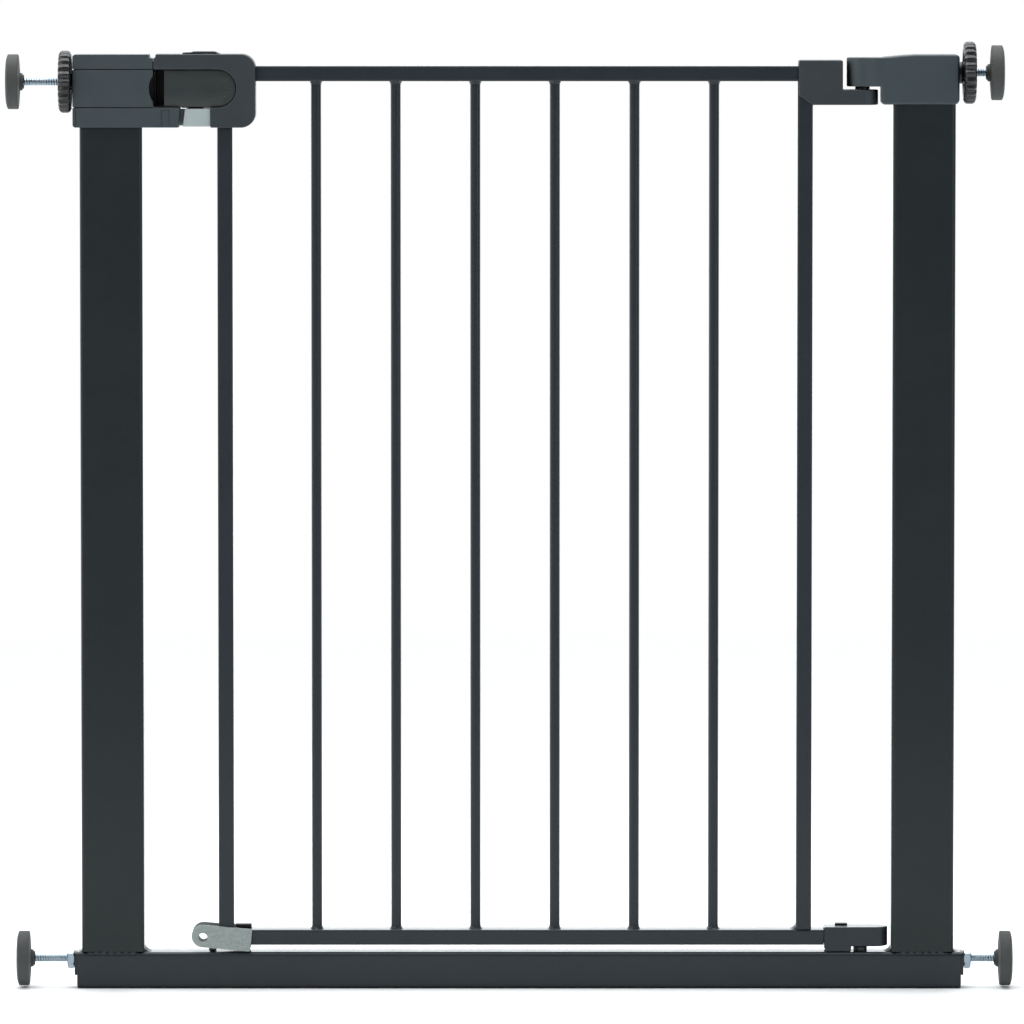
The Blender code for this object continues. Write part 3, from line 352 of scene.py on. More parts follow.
class Surface:
    """A Principled material under construction: its colour and normal grow as layers are added."""

    def __init__(self, name, roughness, metallic=0.0, specular=0.5):
        self.material = bpy.data.materials.new(name)
        self.material.use_nodes = True
        self.tree = self.material.node_tree
        self.inputs = self.tree.nodes["Principled BSDF"].inputs
        self.inputs["Roughness"].default_value = roughness
        self.inputs["Metallic"].default_value = metallic
        self.inputs["Specular IOR Level"].default_value = specular
        self.place = self.add("TexCoord").outputs["Object"]

    def add(self, kind, values=None, **settings):
        return add_node(self.tree, kind, values, **settings)

    def noise(self, scale, detail=2.0, rough=0.5, stretch=(1, 1, 1)):
        mapping = self.add("Mapping", {"Vector": self.place, "Scale": stretch})
        values = {"Vector": mapping.outputs[0], "Scale": scale, "Detail": detail, "Roughness": rough}
        return self.add("TexNoise", values).outputs["Fac"]

    def ramp(self, factor, low, high, out_low=0.0, out_high=1.0):
        values = {"Value": factor, "From Min": low, "From Max": high, "To Min": out_low, "To Max": out_high}
        return self.add("MapRange", values).outputs["Result"]

    def multiply(self, first, second):
        return self.add("Math", {0: first, 1: second}, operation="MULTIPLY").outputs[0]

    def blend(self, factor, first, second):
        """Sets the colour to a mix of two colours, each a socket or 0-255 screen values."""
        made = self.add("Mix", data_type="RGBA")
        sockets = {"Factor": factor, "A": first, "B": second}
        for socket in made.inputs:
            if socket.name in sockets and socket.enabled:
                value = sockets[socket.name]
                if isinstance(value, bpy.types.NodeSocket):
                    self.tree.links.new(value, socket)
                elif socket.type == "RGBA":
                    socket.default_value = (*linear(value), 1)
                else:
                    socket.default_value = value
        self.colour = next(socket for socket in made.outputs if socket.enabled)

    def layer(self, mask, colour):
        self.blend(mask, self.colour, colour)

    def edges(self, radius, reach):
        """Rounds the normal over sharp edges, and gives a mask that is 1 near them."""
        self.normal = self.add("Bevel", {"Radius": radius}, samples=4).outputs[0]
        values = {0: self.normal, 1: self.add("NewGeometry").outputs["Normal"]}
        turned = self.add("VectorMath", values, operation="DOT_PRODUCT").outputs["Value"]
        return self.ramp(turned, 1.0, 1.0 - reach)

    def paint_crevice_shade(self, reach, shade, sunk=(0.7, 0.3)):
        """Paints shade: sinks the colour to a dark shade as the open share round it falls from sunk[0] to
        sunk[1].
        """
        hollow = self.add("AmbientOcclusion", {"Distance": reach}, samples=6).outputs["AO"]
        self.blend(self.ramp(hollow, *sunk), self.colour, shade)

    def finish(self, rough, height, depth):
        bump = self.add("Bump", {"Height": height, "Distance": depth, "Normal": self.normal})
        for name, socket in (("Base Color", self.colour), ("Roughness", rough), ("Normal", bump.outputs[0])):
            self.tree.links.new(socket, self.inputs[name])
        return self.material


def coated_steel(name, dark, light):
    """Powder coat: a satin paint with orange peel, rubbed a little brighter along the edges, and painted
    shade in its creases.
    """
    surface = Surface(name, 0.46, specular=0.22)
    surface.inputs["Coat Weight"].default_value = 0.8
    surface.inputs["Coat IOR"].default_value = 1.2
    surface.inputs["Coat Roughness"].default_value = 0.1
    edge = surface.edges(0.0005, 0.25)
    peel = surface.noise(520, 2, 0.45)
    grit = surface.noise(2600, 1)
    surface.blend(surface.noise(7, 3), dark, light)
    surface.layer(surface.multiply(surface.ramp(grit, 0.62, 0.8), 0.35), (58, 66, 70))
    rubbed = surface.ramp(surface.noise(90, 4), 0.45, 0.7, 0.1, 0.6)
    surface.layer(surface.multiply(edge, rubbed), (74, 82, 86))
    # Painted shade: darker in creases and corners
    surface.paint_crevice_shade(0.004, (8, 10, 12))
    rough = surface.ramp(surface.noise(45, 3), 0.3, 0.7, 0.38, 0.5)
    height = surface.add("Math", {0: peel, 1: surface.multiply(grit, 0.25)}, operation="ADD").outputs[0]
    return surface.finish(rough, height, 0.00005)


def moulded_plastic(name, dark, light, worn_and_highlight, specular=0.4, gloss=0.46, reach=0.007, sunk=(0.62, 0.2)):
    """A moulded plastic with a spark-eroded grain, lighter along its edges from hand polish and a painted
    highlight, with painted shade in its crevices.
    """
    surface = Surface(name, gloss, specular=specular)
    edge = surface.edges(0.0004, 0.25)
    surface.blend(surface.noise(14, 3), dark, light)
    rubbed = surface.ramp(surface.noise(120, 4), 0.4, 0.7, 0.15, 0.7)
    # Edges lighter: partly wear, partly a painted highlight where a chamfer would catch the light
    surface.layer(surface.multiply(edge, rubbed), worn_and_highlight)
    # Painted shade: darker in crevices, recesses and hollows
    surface.paint_crevice_shade(reach, (3, 4, 5), sunk)
    rough = surface.ramp(surface.noise(60, 3), 0.3, 0.7, gloss - 0.05, gloss + 0.08)
    return surface.finish(rough, surface.noise(3200, 2, 0.6), 0.00003)


def plated_steel():
    """Bright zinc plate with a bluish passivation, drawn marks and painted shade in its hollows."""
    surface = Surface("plated_steel", 0.28, metallic=1.0)
    edge = surface.edges(0.0002, 0.3)
    surface.blend(surface.noise(180, 3, 0.5), (138, 156, 168), (164, 178, 187))
    surface.layer(surface.multiply(edge, 0.6), (226, 232, 236))
    # Painted shade in the thread roots and hollows
    surface.paint_crevice_shade(0.001, (62, 72, 80))
    rough = surface.ramp(surface.noise(400, 3), 0.3, 0.7, 0.26, 0.36)
    drawn = surface.noise(1500, 2, 0.5, (1, 1, 0.15))
    return surface.finish(rough, drawn, 0.00001)


def galvanised_steel():
    """Dull zinc-coated sheet: a fine mottle, scuffs and bright cut edges."""
    surface = Surface("galvanised_steel", 0.45, metallic=0.75)
    edge = surface.edges(0.0003, 0.3)
    cells = surface.add("TexVoronoi", {"Vector": surface.place, "Scale": 420.0}).outputs["Color"]
    spangle = surface.add("SeparateColor", {0: cells}).outputs[0]
    mottle = surface.noise(900, 4, 0.65)
    surface.blend(spangle, (140, 150, 147), (152, 161, 158))
    surface.layer(surface.ramp(mottle, 0.5, 0.75, 0, 0.5), (122, 131, 129))
    surface.layer(surface.multiply(edge, 0.5), (214, 220, 220))
    return surface.finish(surface.ramp(mottle, 0.3, 0.7, 0.36, 0.56), mottle, 0.00004)


def speckled_rubber():
    """Grey rubber with fine speckle, darker along its rims."""
    surface = Surface("speckled_rubber", 0.72, specular=0.3)
    edge = surface.edges(0.0006, 0.3)
    speckle = surface.noise(1900, 3, 0.7)
    surface.blend(surface.noise(45, 4), (55, 57, 57), (74, 76, 75))
    surface.layer(surface.ramp(speckle, 0.55, 0.75, 0, 0.6), (99, 101, 99))
    surface.layer(surface.multiply(edge, 0.8), (14, 15, 16))
    return surface.finish(surface.ramp(speckle, 0.3, 0.7, 0.62, 0.82), speckle, 0.00008)


# Each plastic: the dark and light tones, the worn edges with their painted highlight, and then any other
# looks that it sets itself: specular, gloss, and the reach and span of its painted crevice shade
PLASTICS = {
    # The caps reach far, for painted shade deep in the finger scoop
    "cap_plastic": ((52, 61, 66), (60, 70, 74), (92, 101, 105), 0.4, 0.46, 0.028, (0.8, 0.45)),
    "housing_plastic": ((43, 49, 54), (50, 56, 61), (88, 96, 100)),
    # A darker copy of the housing plastic for the rear shell: painted shade in the lever's recess
    "shaded_shell_plastic": ((38, 44, 49), (45, 51, 56), (48, 54, 59), 0.4, 0.46, 0.028, (0.97, 0.75)),
    # A lighter copy of the housing plastic for the button: painted light on its shadowed face
    "lit_button_plastic": ((56, 63, 68), (62, 69, 74), (96, 104, 108)),
    # The lever's bright edge colour is a painted highlight on its chamfered edges
    "lever_plastic": ((34, 40, 41), (42, 49, 50), (118, 126, 128), 0.5, 0.38),
    "dark_plastic": ((14, 16, 19), (21, 24, 27), (46, 51, 55), 0.5, 0.32),
    "light_plastic": ((158, 170, 171), (170, 181, 182), (206, 214, 215), 0.5, 0.4),
}
MATERIALS = {name: moulded_plastic(name, *looks) for name, looks in PLASTICS.items()}
MATERIALS["powder_coat"] = coated_steel("leaf_paint", (30, 37, 42), (38, 45, 51))
# A darker copy of the powder coat for the posts: painted shade on their flat faces
MATERIALS["shaded_post_paint"] = coated_steel("shaded_post_paint", (22, 30, 31), (28, 36, 38))
MATERIALS["zinc"] = plated_steel()
MATERIALS["bracket_steel"] = galvanised_steel()
MATERIALS["pad_rubber"] = speckled_rubber()


def detail(obj, finish, body, paint=None):
    """Gives a piece its shading and finish, and puts it on a body."""
    shade(obj)
    obj.data.materials.clear()
    obj.data.materials.append(MATERIALS[paint or finish])
    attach(obj, body)


def stand_for(obj, finish, node, paint=None):
    """Gives a piece its finish and shows it in place of a CAD node."""
    detail(obj, finish, BODY_OF[node], paint)
    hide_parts(node)


# ---------------- frame and leaf tubes


def tube(node, axis, wall, corner, paint=None):
    """A rectangular tube in place of a CAD tube, with smooth corners and softened ends."""
    extent = Extent(node)
    if axis == "x":
        basis, length, across, up = TO_RIGHT, extent.width, extent.depth, extent.height
    else:
        basis, length, across, up = UPRIGHT, extent.height, extent.width, extent.depth
    half_across = across / 2
    half_up = up / 2
    outer = rounded_rectangle(-half_across, half_across, -half_up, half_up, corner, 8)
    half_across -= wall
    half_up -= wall
    inner = rounded_rectangle(-half_across, half_across, -half_up, half_up, corner - wall * 0.7, 8)
    obj = prism(node + "_tube", [outer, inner], length, basis, extent.middle)
    soften(obj, 0.0002, 2)
    stand_for(obj, "powder_coat", node, paint)


def round_bar(node):
    extent = Extent(node)
    radius = extent.width / 2
    outlines = [circle(radius, 40), circle(radius - BAR_WALL, 40)]
    obj = prism(node + "_tube", outlines, extent.height, UPRIGHT, extent.middle)
    stand_for(obj, "powder_coat", node)


def weld_collar(name, x, z, radius, up, seed):
    """A small lumpy fillet of weld metal round the end of a bar, where it meets a rail."""
    rings = []
    steps = 40
    reach = 0.0034
    for level in range(7):
        share = level / 6
        spread = 0.0019 * (1 - share) ** 2
        height = up * (reach * share - 0.0006)
        ring = []
        for step in range(steps):
            angle = 2 * pi * step / steps
            lump = noise.noise((cos(angle) * 1.7 + seed, sin(angle) * 1.7, level * 0.5))
            size = radius + 0.00012 + spread * (1 + 0.45 * lump) * (0 if level == 6 else 1)
            ring.append((x + size * cos(angle), size * sin(angle), z + height))
        rings.append(ring)
    if up < 0:
        rings.reverse()
    return loft(name, rings)


def corner_weld(name, x, z, length, out, size, seed):
    """A rippled fillet along Y, in the corner of an upright face and the flat one that runs out along X."""
    root = 0.0004
    ripple_length = 0.0016
    rings = []
    count = max(8, int(length / 0.0007))
    for step in range(count + 1):
        share = step / count
        ripple = 1 + 0.10 * cos(2 * pi * share * length / ripple_length)
        ripple += 0.14 * noise.noise((share * length * 260, seed, 0.3))
        ends = min(1.0, 8 * share, 8 * (1 - share))
        leg = size * ripple * (0.35 + 0.65 * sqrt(ends))
        y = (share - 0.5) * length
        ring = [(x - root * out, y, z - root)]
        for point in range(7):
            part = point / 6
            ring.append((x + out * leg * (1 - part) ** 1.6, y, z + leg * 0.85 * part ** 1.6))
        rings.append(ring)
    if out < 0:
        rings = [list(reversed(ring)) for ring in rings]
    return loft(name, rings)


def frame_tubes():
    tube("threshold_bar", "x", FRAME_WALL, FRAME_CORNER)
    for post in ("left_post", "right_post"):
        # The posts wear the darker copy of the powder coat: painted shade
        tube(post, "z", FRAME_WALL, FRAME_CORNER, "shaded_post_paint")


def frame_welds():
    """Fillets at the outer and inner sides of each post's foot, and a bead across its front."""
    welds = []
    top = THRESHOLD.top
    length = THRESHOLD.depth - 0.006
    sides = [
        (LEFT_POST.left, -1, 0.0028),
        (LEFT_POST.right, 1, 0.0052),
        (RIGHT_POST.left, -1, 0.0052),
        (RIGHT_POST.right, 1, 0.0036),
    ]
    for seed, (x, out, size) in enumerate(sides):
        welds.append(corner_weld(f"weld_{seed}", x, top, length, out, size, seed * 3.1))
    for seed, post in enumerate((LEFT_POST, RIGHT_POST)):
        bead = []
        count = 120
        run = post.width - 0.008
        for step in range(count + 1):
            along = post.middle.x + (step / count - 0.5) * run
            lump = noise.noise((along * 210, seed * 9.0, 0))
            size = 0.0014 + 0.0003 * lump + 0.0004 * cos(2 * pi * along / 0.0058)
            size *= sqrt(min(1.0, 9 * step / count + 0.02, 9 * (1 - step / count) + 0.02))
            centre_y = post.front + 0.001
            ring = circle(size, 12)
            bead.append([(along, centre_y + a, top - 0.001 + b) for a, b in ring])
        welds.append(loft(f"foot_bead_{seed}", bead))
    detail(gather("post_foot_welds", welds), "powder_coat", "frame")


def leaf_tubes():
    for rail in ("top_rail", "bottom_rail"):
        tube(rail, "x", LEAF_WALL, RAIL_CORNER)
    for stile in ("latch_stile", "hinge_stile"):
        tube(stile, "z", LEAF_WALL, STILE_CORNER)
    for bar in BARS:
        round_bar(bar)


def leaf_welds():
    welds = []
    low = BOTTOM_RAIL.top
    high = TOP_RAIL.bottom
    for number, node in enumerate(BARS, 1):
        bar = Extent(node)
        radius = bar.width / 2
        welds.append(weld_collar(f"foot_{number}", bar.middle.x, low, radius, 1, number * 1.3))
        welds.append(weld_collar(f"head_{number}", bar.middle.x, high, radius, -1, number * 2.9))
    length = HINGE_STILE.depth - 0.005
    for seed, (x, out) in enumerate(((HINGE_STILE.left, -1), (LATCH_STILE.right, 1))):
        welds.append(corner_weld(f"stile_{seed}", x, low, length, out, 0.0042, seed * 5.0))
    detail(gather("leaf_welds", welds), "powder_coat", "leaf")


# ---------------- post caps and top hinge


def post_pocket(name, post, bottom):
    x = (post.left - GAP, post.right + GAP)
    y = (post.front - GAP, post.back + GAP)
    return block(name, x, y, (bottom - 0.01, post.top + GAP))


def cap_holes(side, outer_x, back):
    """Cutters for the spindle's bush in a cap's outer side and for the screw in its back."""
    bush_place = (outer_x, 0, Extent(f"spindle_top_{side}").middle.z)
    screw_place = (Extent(f"{side}_cap_screw").middle.x, back, CAP_SCREW_Z)
    return (
        rod("bush_hole", BUSH_HOLE_RADIUS, 0.02, TO_RIGHT, bush_place),
        rod("screw_hole", SCREW_HOLE_RADIUS, 0.02, TO_BACK, screw_place),
    )


def groove(name, x, z, width, depth):
    """A cutter for a scored line across a cap's front and back and, at its left, round its side."""
    half = KEEPER.depth / 2
    beyond = 0.006
    outline = [(x[0] - beyond, -half - beyond), (x[1], -half - beyond), (x[1], depth - half)]
    outline += [(x[0] + depth, depth - half), (x[0] + depth, half - depth), (x[1], half - depth)]
    outline += [(x[1], half + beyond), (x[0] - beyond, half + beyond)]
    return prism(name, [outline], width, UPRIGHT, (0, 0, z))


def keeper_cap():
    """The cap on the latch post: two scored lines, a round hollow for a finger, and the bolt's tongue."""
    tongue_end = KEEPER.right
    inner = KEEPER_BODY_RIGHT
    corner = 0.0022
    outline = arc(KEEPER.left + corner, KEEPER.bottom + corner, corner, 180, 270, 6)
    outline += [(tongue_end - 0.0012, KEEPER.bottom), (tongue_end, TONGUE_TOP), (inner + GAP, TONGUE_TOP)]
    outline += [(inner + GAP, HOLLOW_TOP), (inner, HOLLOW_TOP)]
    outline += [(inner, KEEPER.top - 0.0058), (inner - 0.0006, KEEPER.top - 0.0052)]
    outline += [(inner - 0.0006, KEEPER.top - 0.003), (inner - 0.0027, KEEPER.top - 0.0026)]
    outline.append((inner - 0.003, KEEPER.top))
    outline += arc(KEEPER.left + corner, KEEPER.top - corner, corner, 90, 180, 6)
    cap = soften(prism("keeper_cap", [outline], KEEPER.depth, FACING), EDGE_RADIUS)
    scoop_radius = 0.018
    scoop_place = (HOUSING.left + 0.0145, -0.0022 - KEEPER.depth / 2, HOLLOW_Z)
    scoop = rod("scoop", scoop_radius, KEEPER.depth, FACING, scoop_place, 96)
    keep_in = block("keep_in", (inner - 0.01, inner + 0.05), (-0.05, 0.0), (TONGUE_TOP, HOLLOW_TOP))
    combine(scoop, "INTERSECT", [keep_in])
    below = KEEPER.bottom - 0.01
    slot_x = (tongue_end - 0.005, tongue_end + 0.005)
    panel_x = (inner + 0.0065, inner + 0.0132)
    side_line_x = (KEEPER.left + 0.0022, KEEPER.left + 0.0026)
    before = KEEPER.front - 0.01
    line = 0.0009
    carve(
        cap,
        post_pocket("pocket", LEFT_POST, KEEPER.bottom),
        scoop,
        block("slot", slot_x, (-0.006, 0.006), (below, TONGUE_TOP + 0.01)),
        groove("upper_line", (KEEPER.left, inner + 0.001), HOLLOW_TOP, line, line),
        groove("lower_line", (KEEPER.left, inner + 0.0001), TONGUE_TOP, line, line),
        block("panel", panel_x, (before, KEEPER.front + 0.0006), (below, TONGUE_TOP - 0.0016)),
        block("side_line", side_line_x, (before, KEEPER.front + 0.0005), (below, TONGUE_TOP)),
        *cap_holes("left", KEEPER.left, KEEPER.back),
    )
    stand_for(cap, "cap_plastic", "left_post_cap")


def hinge_cap():
    """The cap on the hinge post, with the arm that holds the upper hinge pin."""
    left = HINGE_CAP_BODY_LEFT
    corner = 0.0042
    top = HINGE_CAP.top
    outline = arc(HINGE_CAP.right - corner, HINGE_CAP.bottom + corner, corner, -90, 0, 8)
    outline += arc(HINGE_CAP.right - 0.003, top - 0.003, 0.003, 0, 90, 8)
    outline += [(left + 0.026, top), (left + 0.014, top - 0.0008), (left, top - 0.0022)]
    outline += arc(left + 0.003, HINGE_CAP.bottom + 0.003, 0.003, 180, 270, 6)
    cap = prism("hinge_cap", [outline], HINGE_CAP.depth, FACING)
    soften(cap, 0.002, SOFT_EDGE_STEPS)
    radius = HINGE_X - HINGE_CAP.left
    arm_bottom = SHOULDER_Z + 0.0024
    arm_top = top - 0.0023
    half = HINGE_CAP.depth / 2 - 0.0001
    flare = []
    for step in range(9):
        share = step / 8
        flare.append((HINGE_X + 0.012 * share, radius + (half - radius) * (3 - 2 * share) * share ** 2))
    plan = arc(HINGE_X, 0, radius, 90, 270, 32) + [(x, -y) for x, y in flare[1:]]
    plan += [(left + 0.006, -half), (left + 0.006, half)] + list(reversed(flare[1:]))
    arm = prism("arm", [plan], arm_top - arm_bottom, UPRIGHT, (0, 0, (arm_top + arm_bottom) / 2))
    soften(arm, 0.0009)
    fuse(cap, arm)
    carve(
        cap,
        post_pocket("pocket", RIGHT_POST, HINGE_CAP.bottom),
        rod("pin_hole", HINGE_PIN.width / 2 + GAP, 0.038, UPRIGHT, (HINGE_X, 0, SHOULDER_Z)),
        *cap_holes("right", HINGE_CAP.right, HINGE_CAP.back),
    )
    stand_for(cap, "cap_plastic", "right_post_cap")


def hinge_block():
    """The leaf's hinge block: a corner moulding with a chamfered heel and a half-round lower arm."""
    left = HINGE_BLOCK.left
    bottom = HINGE_BLOCK.bottom
    top = HINGE_BLOCK.top
    shoulder_x = SHOULDER_X
    front = [(left + 0.0105, bottom), (HINGE_X + 0.02, bottom), (HINGE_X + 0.02, SHOULDER_Z)]
    front += [(shoulder_x, SHOULDER_Z)]
    front += arc(shoulder_x - 0.0016, top - 0.0016, 0.0016, 0, 90, 5)
    front += arc(left + 0.0014, top - 0.0014, 0.0014, 90, 180, 5)
    front += [(left, bottom + 0.0075)]
    body = prism("hinge_block", [front], 0.04, FACING)
    radius = HINGE_BLOCK.depth / 2
    plan = knuckle_plan(HINGE_X, radius, left - 0.01)
    combine(body, "INTERSECT", [prism("plan", [plan], 0.1, UPRIGHT, (0, 0, SHOULDER_Z))])
    soften(body, 0.0009)
    half = TOP_RAIL.depth / 2 + GAP
    heel = [(left - 0.002, bottom + 0.0088), (left + 0.012, bottom - 0.0006), (left - 0.002, bottom - 0.002)]
    crease = prism("crease", [heel], 0.0012, FACING, (0, HINGE_BLOCK.front, 0))
    pocket_x = (left - 0.008, HINGE_STILE.right + GAP)
    carve(
        body,
        crease,
        block("pocket", pocket_x, (-half, half), (bottom - 0.011, TOP_RAIL.top + GAP)),
        rod("pin_hole", HINGE_BUSH_HOLE_RADIUS, 0.05, UPRIGHT, (HINGE_X, 0, SHOULDER_Z)),
    )
    stand_for(body, "housing_plastic", "upper_hinge_block")


def on_axis(name, profile, finish, node):
    """A piece turned about the hinge's axis, in place of a CAD node."""
    stand_for(lathe(name, profile, UPRIGHT, (HINGE_X, 0, 0)), finish, node)


def hinge_turnings():
    """The hinge pins and the bush that the upper pin turns in."""
    pin = HINGE_PIN.width / 2
    top, bottom = HINGE_PIN.top, HINGE_PIN.bottom
    profile = [(0, top), (pin - 0.0007, top), (pin - 0.0002, top - 0.0003), (pin, top - 0.0008)]
    profile += [(pin, bottom + 0.0008), (pin - 0.0002, bottom + 0.0003), (pin - 0.0007, bottom), (0, bottom)]
    on_axis("hinge_pin_turned", profile, "zinc", "upper_hinge_pin")
    lower = Extent("lower_hinge_pin")
    collar = lower.width / 2
    neck = lower.bottom + 0.0032
    profile = [(0, lower.top), (pin - 0.001, lower.top), (pin - 0.0003, lower.top - 0.0004)]
    profile += [(pin, lower.top - 0.0012), (pin, neck + 0.0004)]
    profile += [(pin + 0.0004, neck), (collar - 0.0003, neck)]
    profile += [(collar, neck - 0.0004), (collar, lower.bottom - 0.0002), (0, lower.bottom - 0.0002)]
    on_axis("floor_pin_turned", profile, "dark_plastic", "lower_hinge_pin")
    bush = Extent("upper_hinge_bush")
    flange = bush.width / 2
    under = bush.top - 0.0018
    profile = [(pin + GAP, bush.top), (flange - 0.0004, bush.top), (flange - 0.0001, bush.top - 0.0002)]
    profile += [(flange, bush.top - 0.0005), (flange, under), (flange - 0.0011, under)]
    profile += [(flange - 0.0011, bush.bottom), (pin + GAP, bush.bottom)]
    on_axis("hinge_bush_turned", profile, "dark_plastic", "upper_hinge_bush")


# ---------------- foot of the leaf


def latch_bracket():
    """A folded sheet bracket: two eyed cheeks on the bottom rail and the web that joins them."""
    slope = -5.2
    half_width = 0.0088
    eye_x = LATCH_BRACKET.left + half_width
    eye_z = 0.0409
    eye_radius = 0.0036
    length = 0.038
    thickness = 0.002
    along = Vector((cos(radians(slope)), sin(radians(slope))))
    across = Vector((-along.y, along.x))
    end = Vector((eye_x, eye_z)) + along * length
    corner = 0.0012
    outline = arc(eye_x, eye_z, half_width, 90 + slope, 270 + slope, 28)
    lower = end - across * half_width
    upper = end + across * half_width
    outline += [tuple(lower - along * corner), tuple(lower + across * corner)]
    outline += [tuple(upper - across * corner), tuple(upper - along * corner)]
    eye = circle(eye_radius, 40, eye_x, eye_z - 0.0012)
    cheeks = []
    for side, name in ((-1, "front_cheek"), (1, "rear_cheek")):
        y = side * (LATCH_BRACKET.back - thickness / 2)
        cheeks.append(soften(prism(name, [outline, eye], thickness, FACING, (0, y, 0)), 0.0004))
    web_x = (-0.2255, -0.2115)
    web_z = (0.0306, 0.0328)
    web = block("web", web_x, (-0.0112, 0.0112), web_z)
    bracket = fuse(*cheeks, soften(web, 0.0003))
    bracket.name = "latch_bracket_pressing"
    stand_for(bracket, "bracket_steel", "latch_bracket")


def bracket_pads():
    """The dark pads on the bottom rail, inside the two brackets."""
    pads = (
        ("latch_end_pad", (-0.2224, -0.2097), (0.001, 0.0092), BOTTOM_RAIL.top, 0.0034),
        ("hinge_end_pad", (0.2478, 0.2576), (0.003, 0.0105), HINGE_BRACKET.top, 0.0016),
    )
    for name, x, y, base, height in pads:
        pad = soften(block(name, x, y, (base - 0.0001, base + height)), 0.0007)
        detail(pad, "dark_plastic", "leaf")


def hinge_bracket():
    """The folded cover at the leaf's foot, with a lip on each side."""
    bracket = HINGE_BRACKET
    radius = bracket.depth / 2
    wall = 0.0015
    end_x = bracket.right - radius
    skirt = bracket.bottom + 0.004
    plan = knuckle_plan(end_x, radius, bracket.left)
    middle = (0, 0, (skirt + bracket.top) / 2)
    cover = soften(prism("hinge_bracket", [plan], bracket.top - skirt, UPRIGHT, middle), 0.0007)
    plan = knuckle_plan(end_x, radius - wall, bracket.left - 0.01)
    carve(cover, prism("pocket", [plan], 0.03, UPRIGHT, (0, 0, bracket.top - wall - 0.015)))
    for side, name in ((-1, "front_lip"), (1, "rear_lip")):
        y = sorted((side * (radius - 0.00012), side * (radius - wall + 0.0001)))
        lip_x = (bracket.left + 0.0006, bracket.left + 0.0212)
        fuse(cover, soften(block(name, lip_x, y, (bracket.bottom, skirt + 0.003)), 0.0004))
    stand_for(cover, "powder_coat", "lower_hinge_bracket")
    bush = Extent("lower_hinge_bush")
    slot_radius = HINGE_PIN.width / 2 + GAP
    slot = arc(HINGE_X, 0, slot_radius, 90, 270, 16) + arc(end_x + 0.0009, 0, slot_radius, -90, 90, 16)
    outlines = [knuckle_plan(end_x, radius - wall - GAP, bush.left), slot]
    slotted = soften(prism("slotted_bush", outlines, bush.height, UPRIGHT, (0, 0, bush.middle.z)), 0.0003)
    stand_for(slotted, "dark_plastic", "lower_hinge_bush")


def floor_stop():
    tab = Extent("floor_stop_tab")
    x = (tab.left, tab.right)
    y = (tab.front, tab.back)
    stop = soften(block("floor_stop", x, y, (tab.bottom - 0.0002, tab.top)), 0.0016, SOFT_EDGE_STEPS)
    stand_for(stop, "powder_coat", "floor_stop_tab")


# ---------------- handle


def housing_outline(inset, closed_back):
    """The housing from the front: a C round the lever's recess or, for the rear shell, filled across."""
    corner = 0.0112 - inset
    left = HOUSING.left + inset
    right = HOUSING.right - inset
    bottom = HOUSING.bottom + inset
    top = HOUSING.top - inset
    step_x = STEP_X + inset
    outline = [(step_x, bottom)]
    outline += arc(right - corner, bottom + corner, corner, -90, 0, 16)
    outline += arc(right - corner, top - corner, corner, 0, 90, 16)
    outline += [(left + 0.0018, top), (left + 0.0015, top - 0.0026), (left, top - 0.003)]
    if closed_back:
        over_tongue = TONGUE_TOP + GAP + inset
        over_bolt = TONGUE_TOP - 0.0005 + inset
        past_tongue = KEEPER.right + 0.0009 + inset
        outline += [(left, over_tongue), (past_tongue, over_tongue)]
        return [*outline, (past_tongue, over_bolt), (step_x, over_bolt)]
    outline.append((left, HOLLOW_TOP + inset))
    outline += arc(RECESS_END_X, HOLLOW_Z, RECESS_RADIUS + inset, 90, -90, 36)
    if inset == 0:
        outline.append((step_x, TONGUE_TOP))
    return outline


def housing_pockets(y):
    """Cutters for the stile and the rail inside the housing, and for the bolt's end."""
    half = LATCH_STILE.depth / 2 + GAP
    leaf_y = (max(y[0], -half), min(y[1], half))
    bolt_half = 0.0123
    bolt_y = (max(y[0], -bolt_half), min(y[1], bolt_half))
    stile = (LATCH_STILE.left - 0.0004, LATCH_STILE.right + 0.0004)
    rail = (stile[0], HOUSING.right + 0.005)
    below = HOUSING.bottom - 0.01
    return [
        block("stile_pocket", stile, leaf_y, (below, TOP_RAIL.middle.z)),
        block("rail_pocket", rail, leaf_y, (TOP_RAIL.bottom - GAP, TOP_RAIL.top + GAP)),
        block("bolt_pocket", (BOLT.right - GAP, BOLT.right + 0.0057), bolt_y, (below, TONGUE_TOP - 0.0006)),
    ]


def hollow_shell(name, y, cavity_y, closed_back):
    """One half of the housing with its outer edges softened and its inside cut out."""
    shell = slab(name, housing_outline(0, closed_back), y)
    soften(shell, EDGE_RADIUS, SOFT_EDGE_STEPS)
    return carve(shell, slab("cavity", housing_outline(SHELL_WALL * 0.85, closed_back), cavity_y))


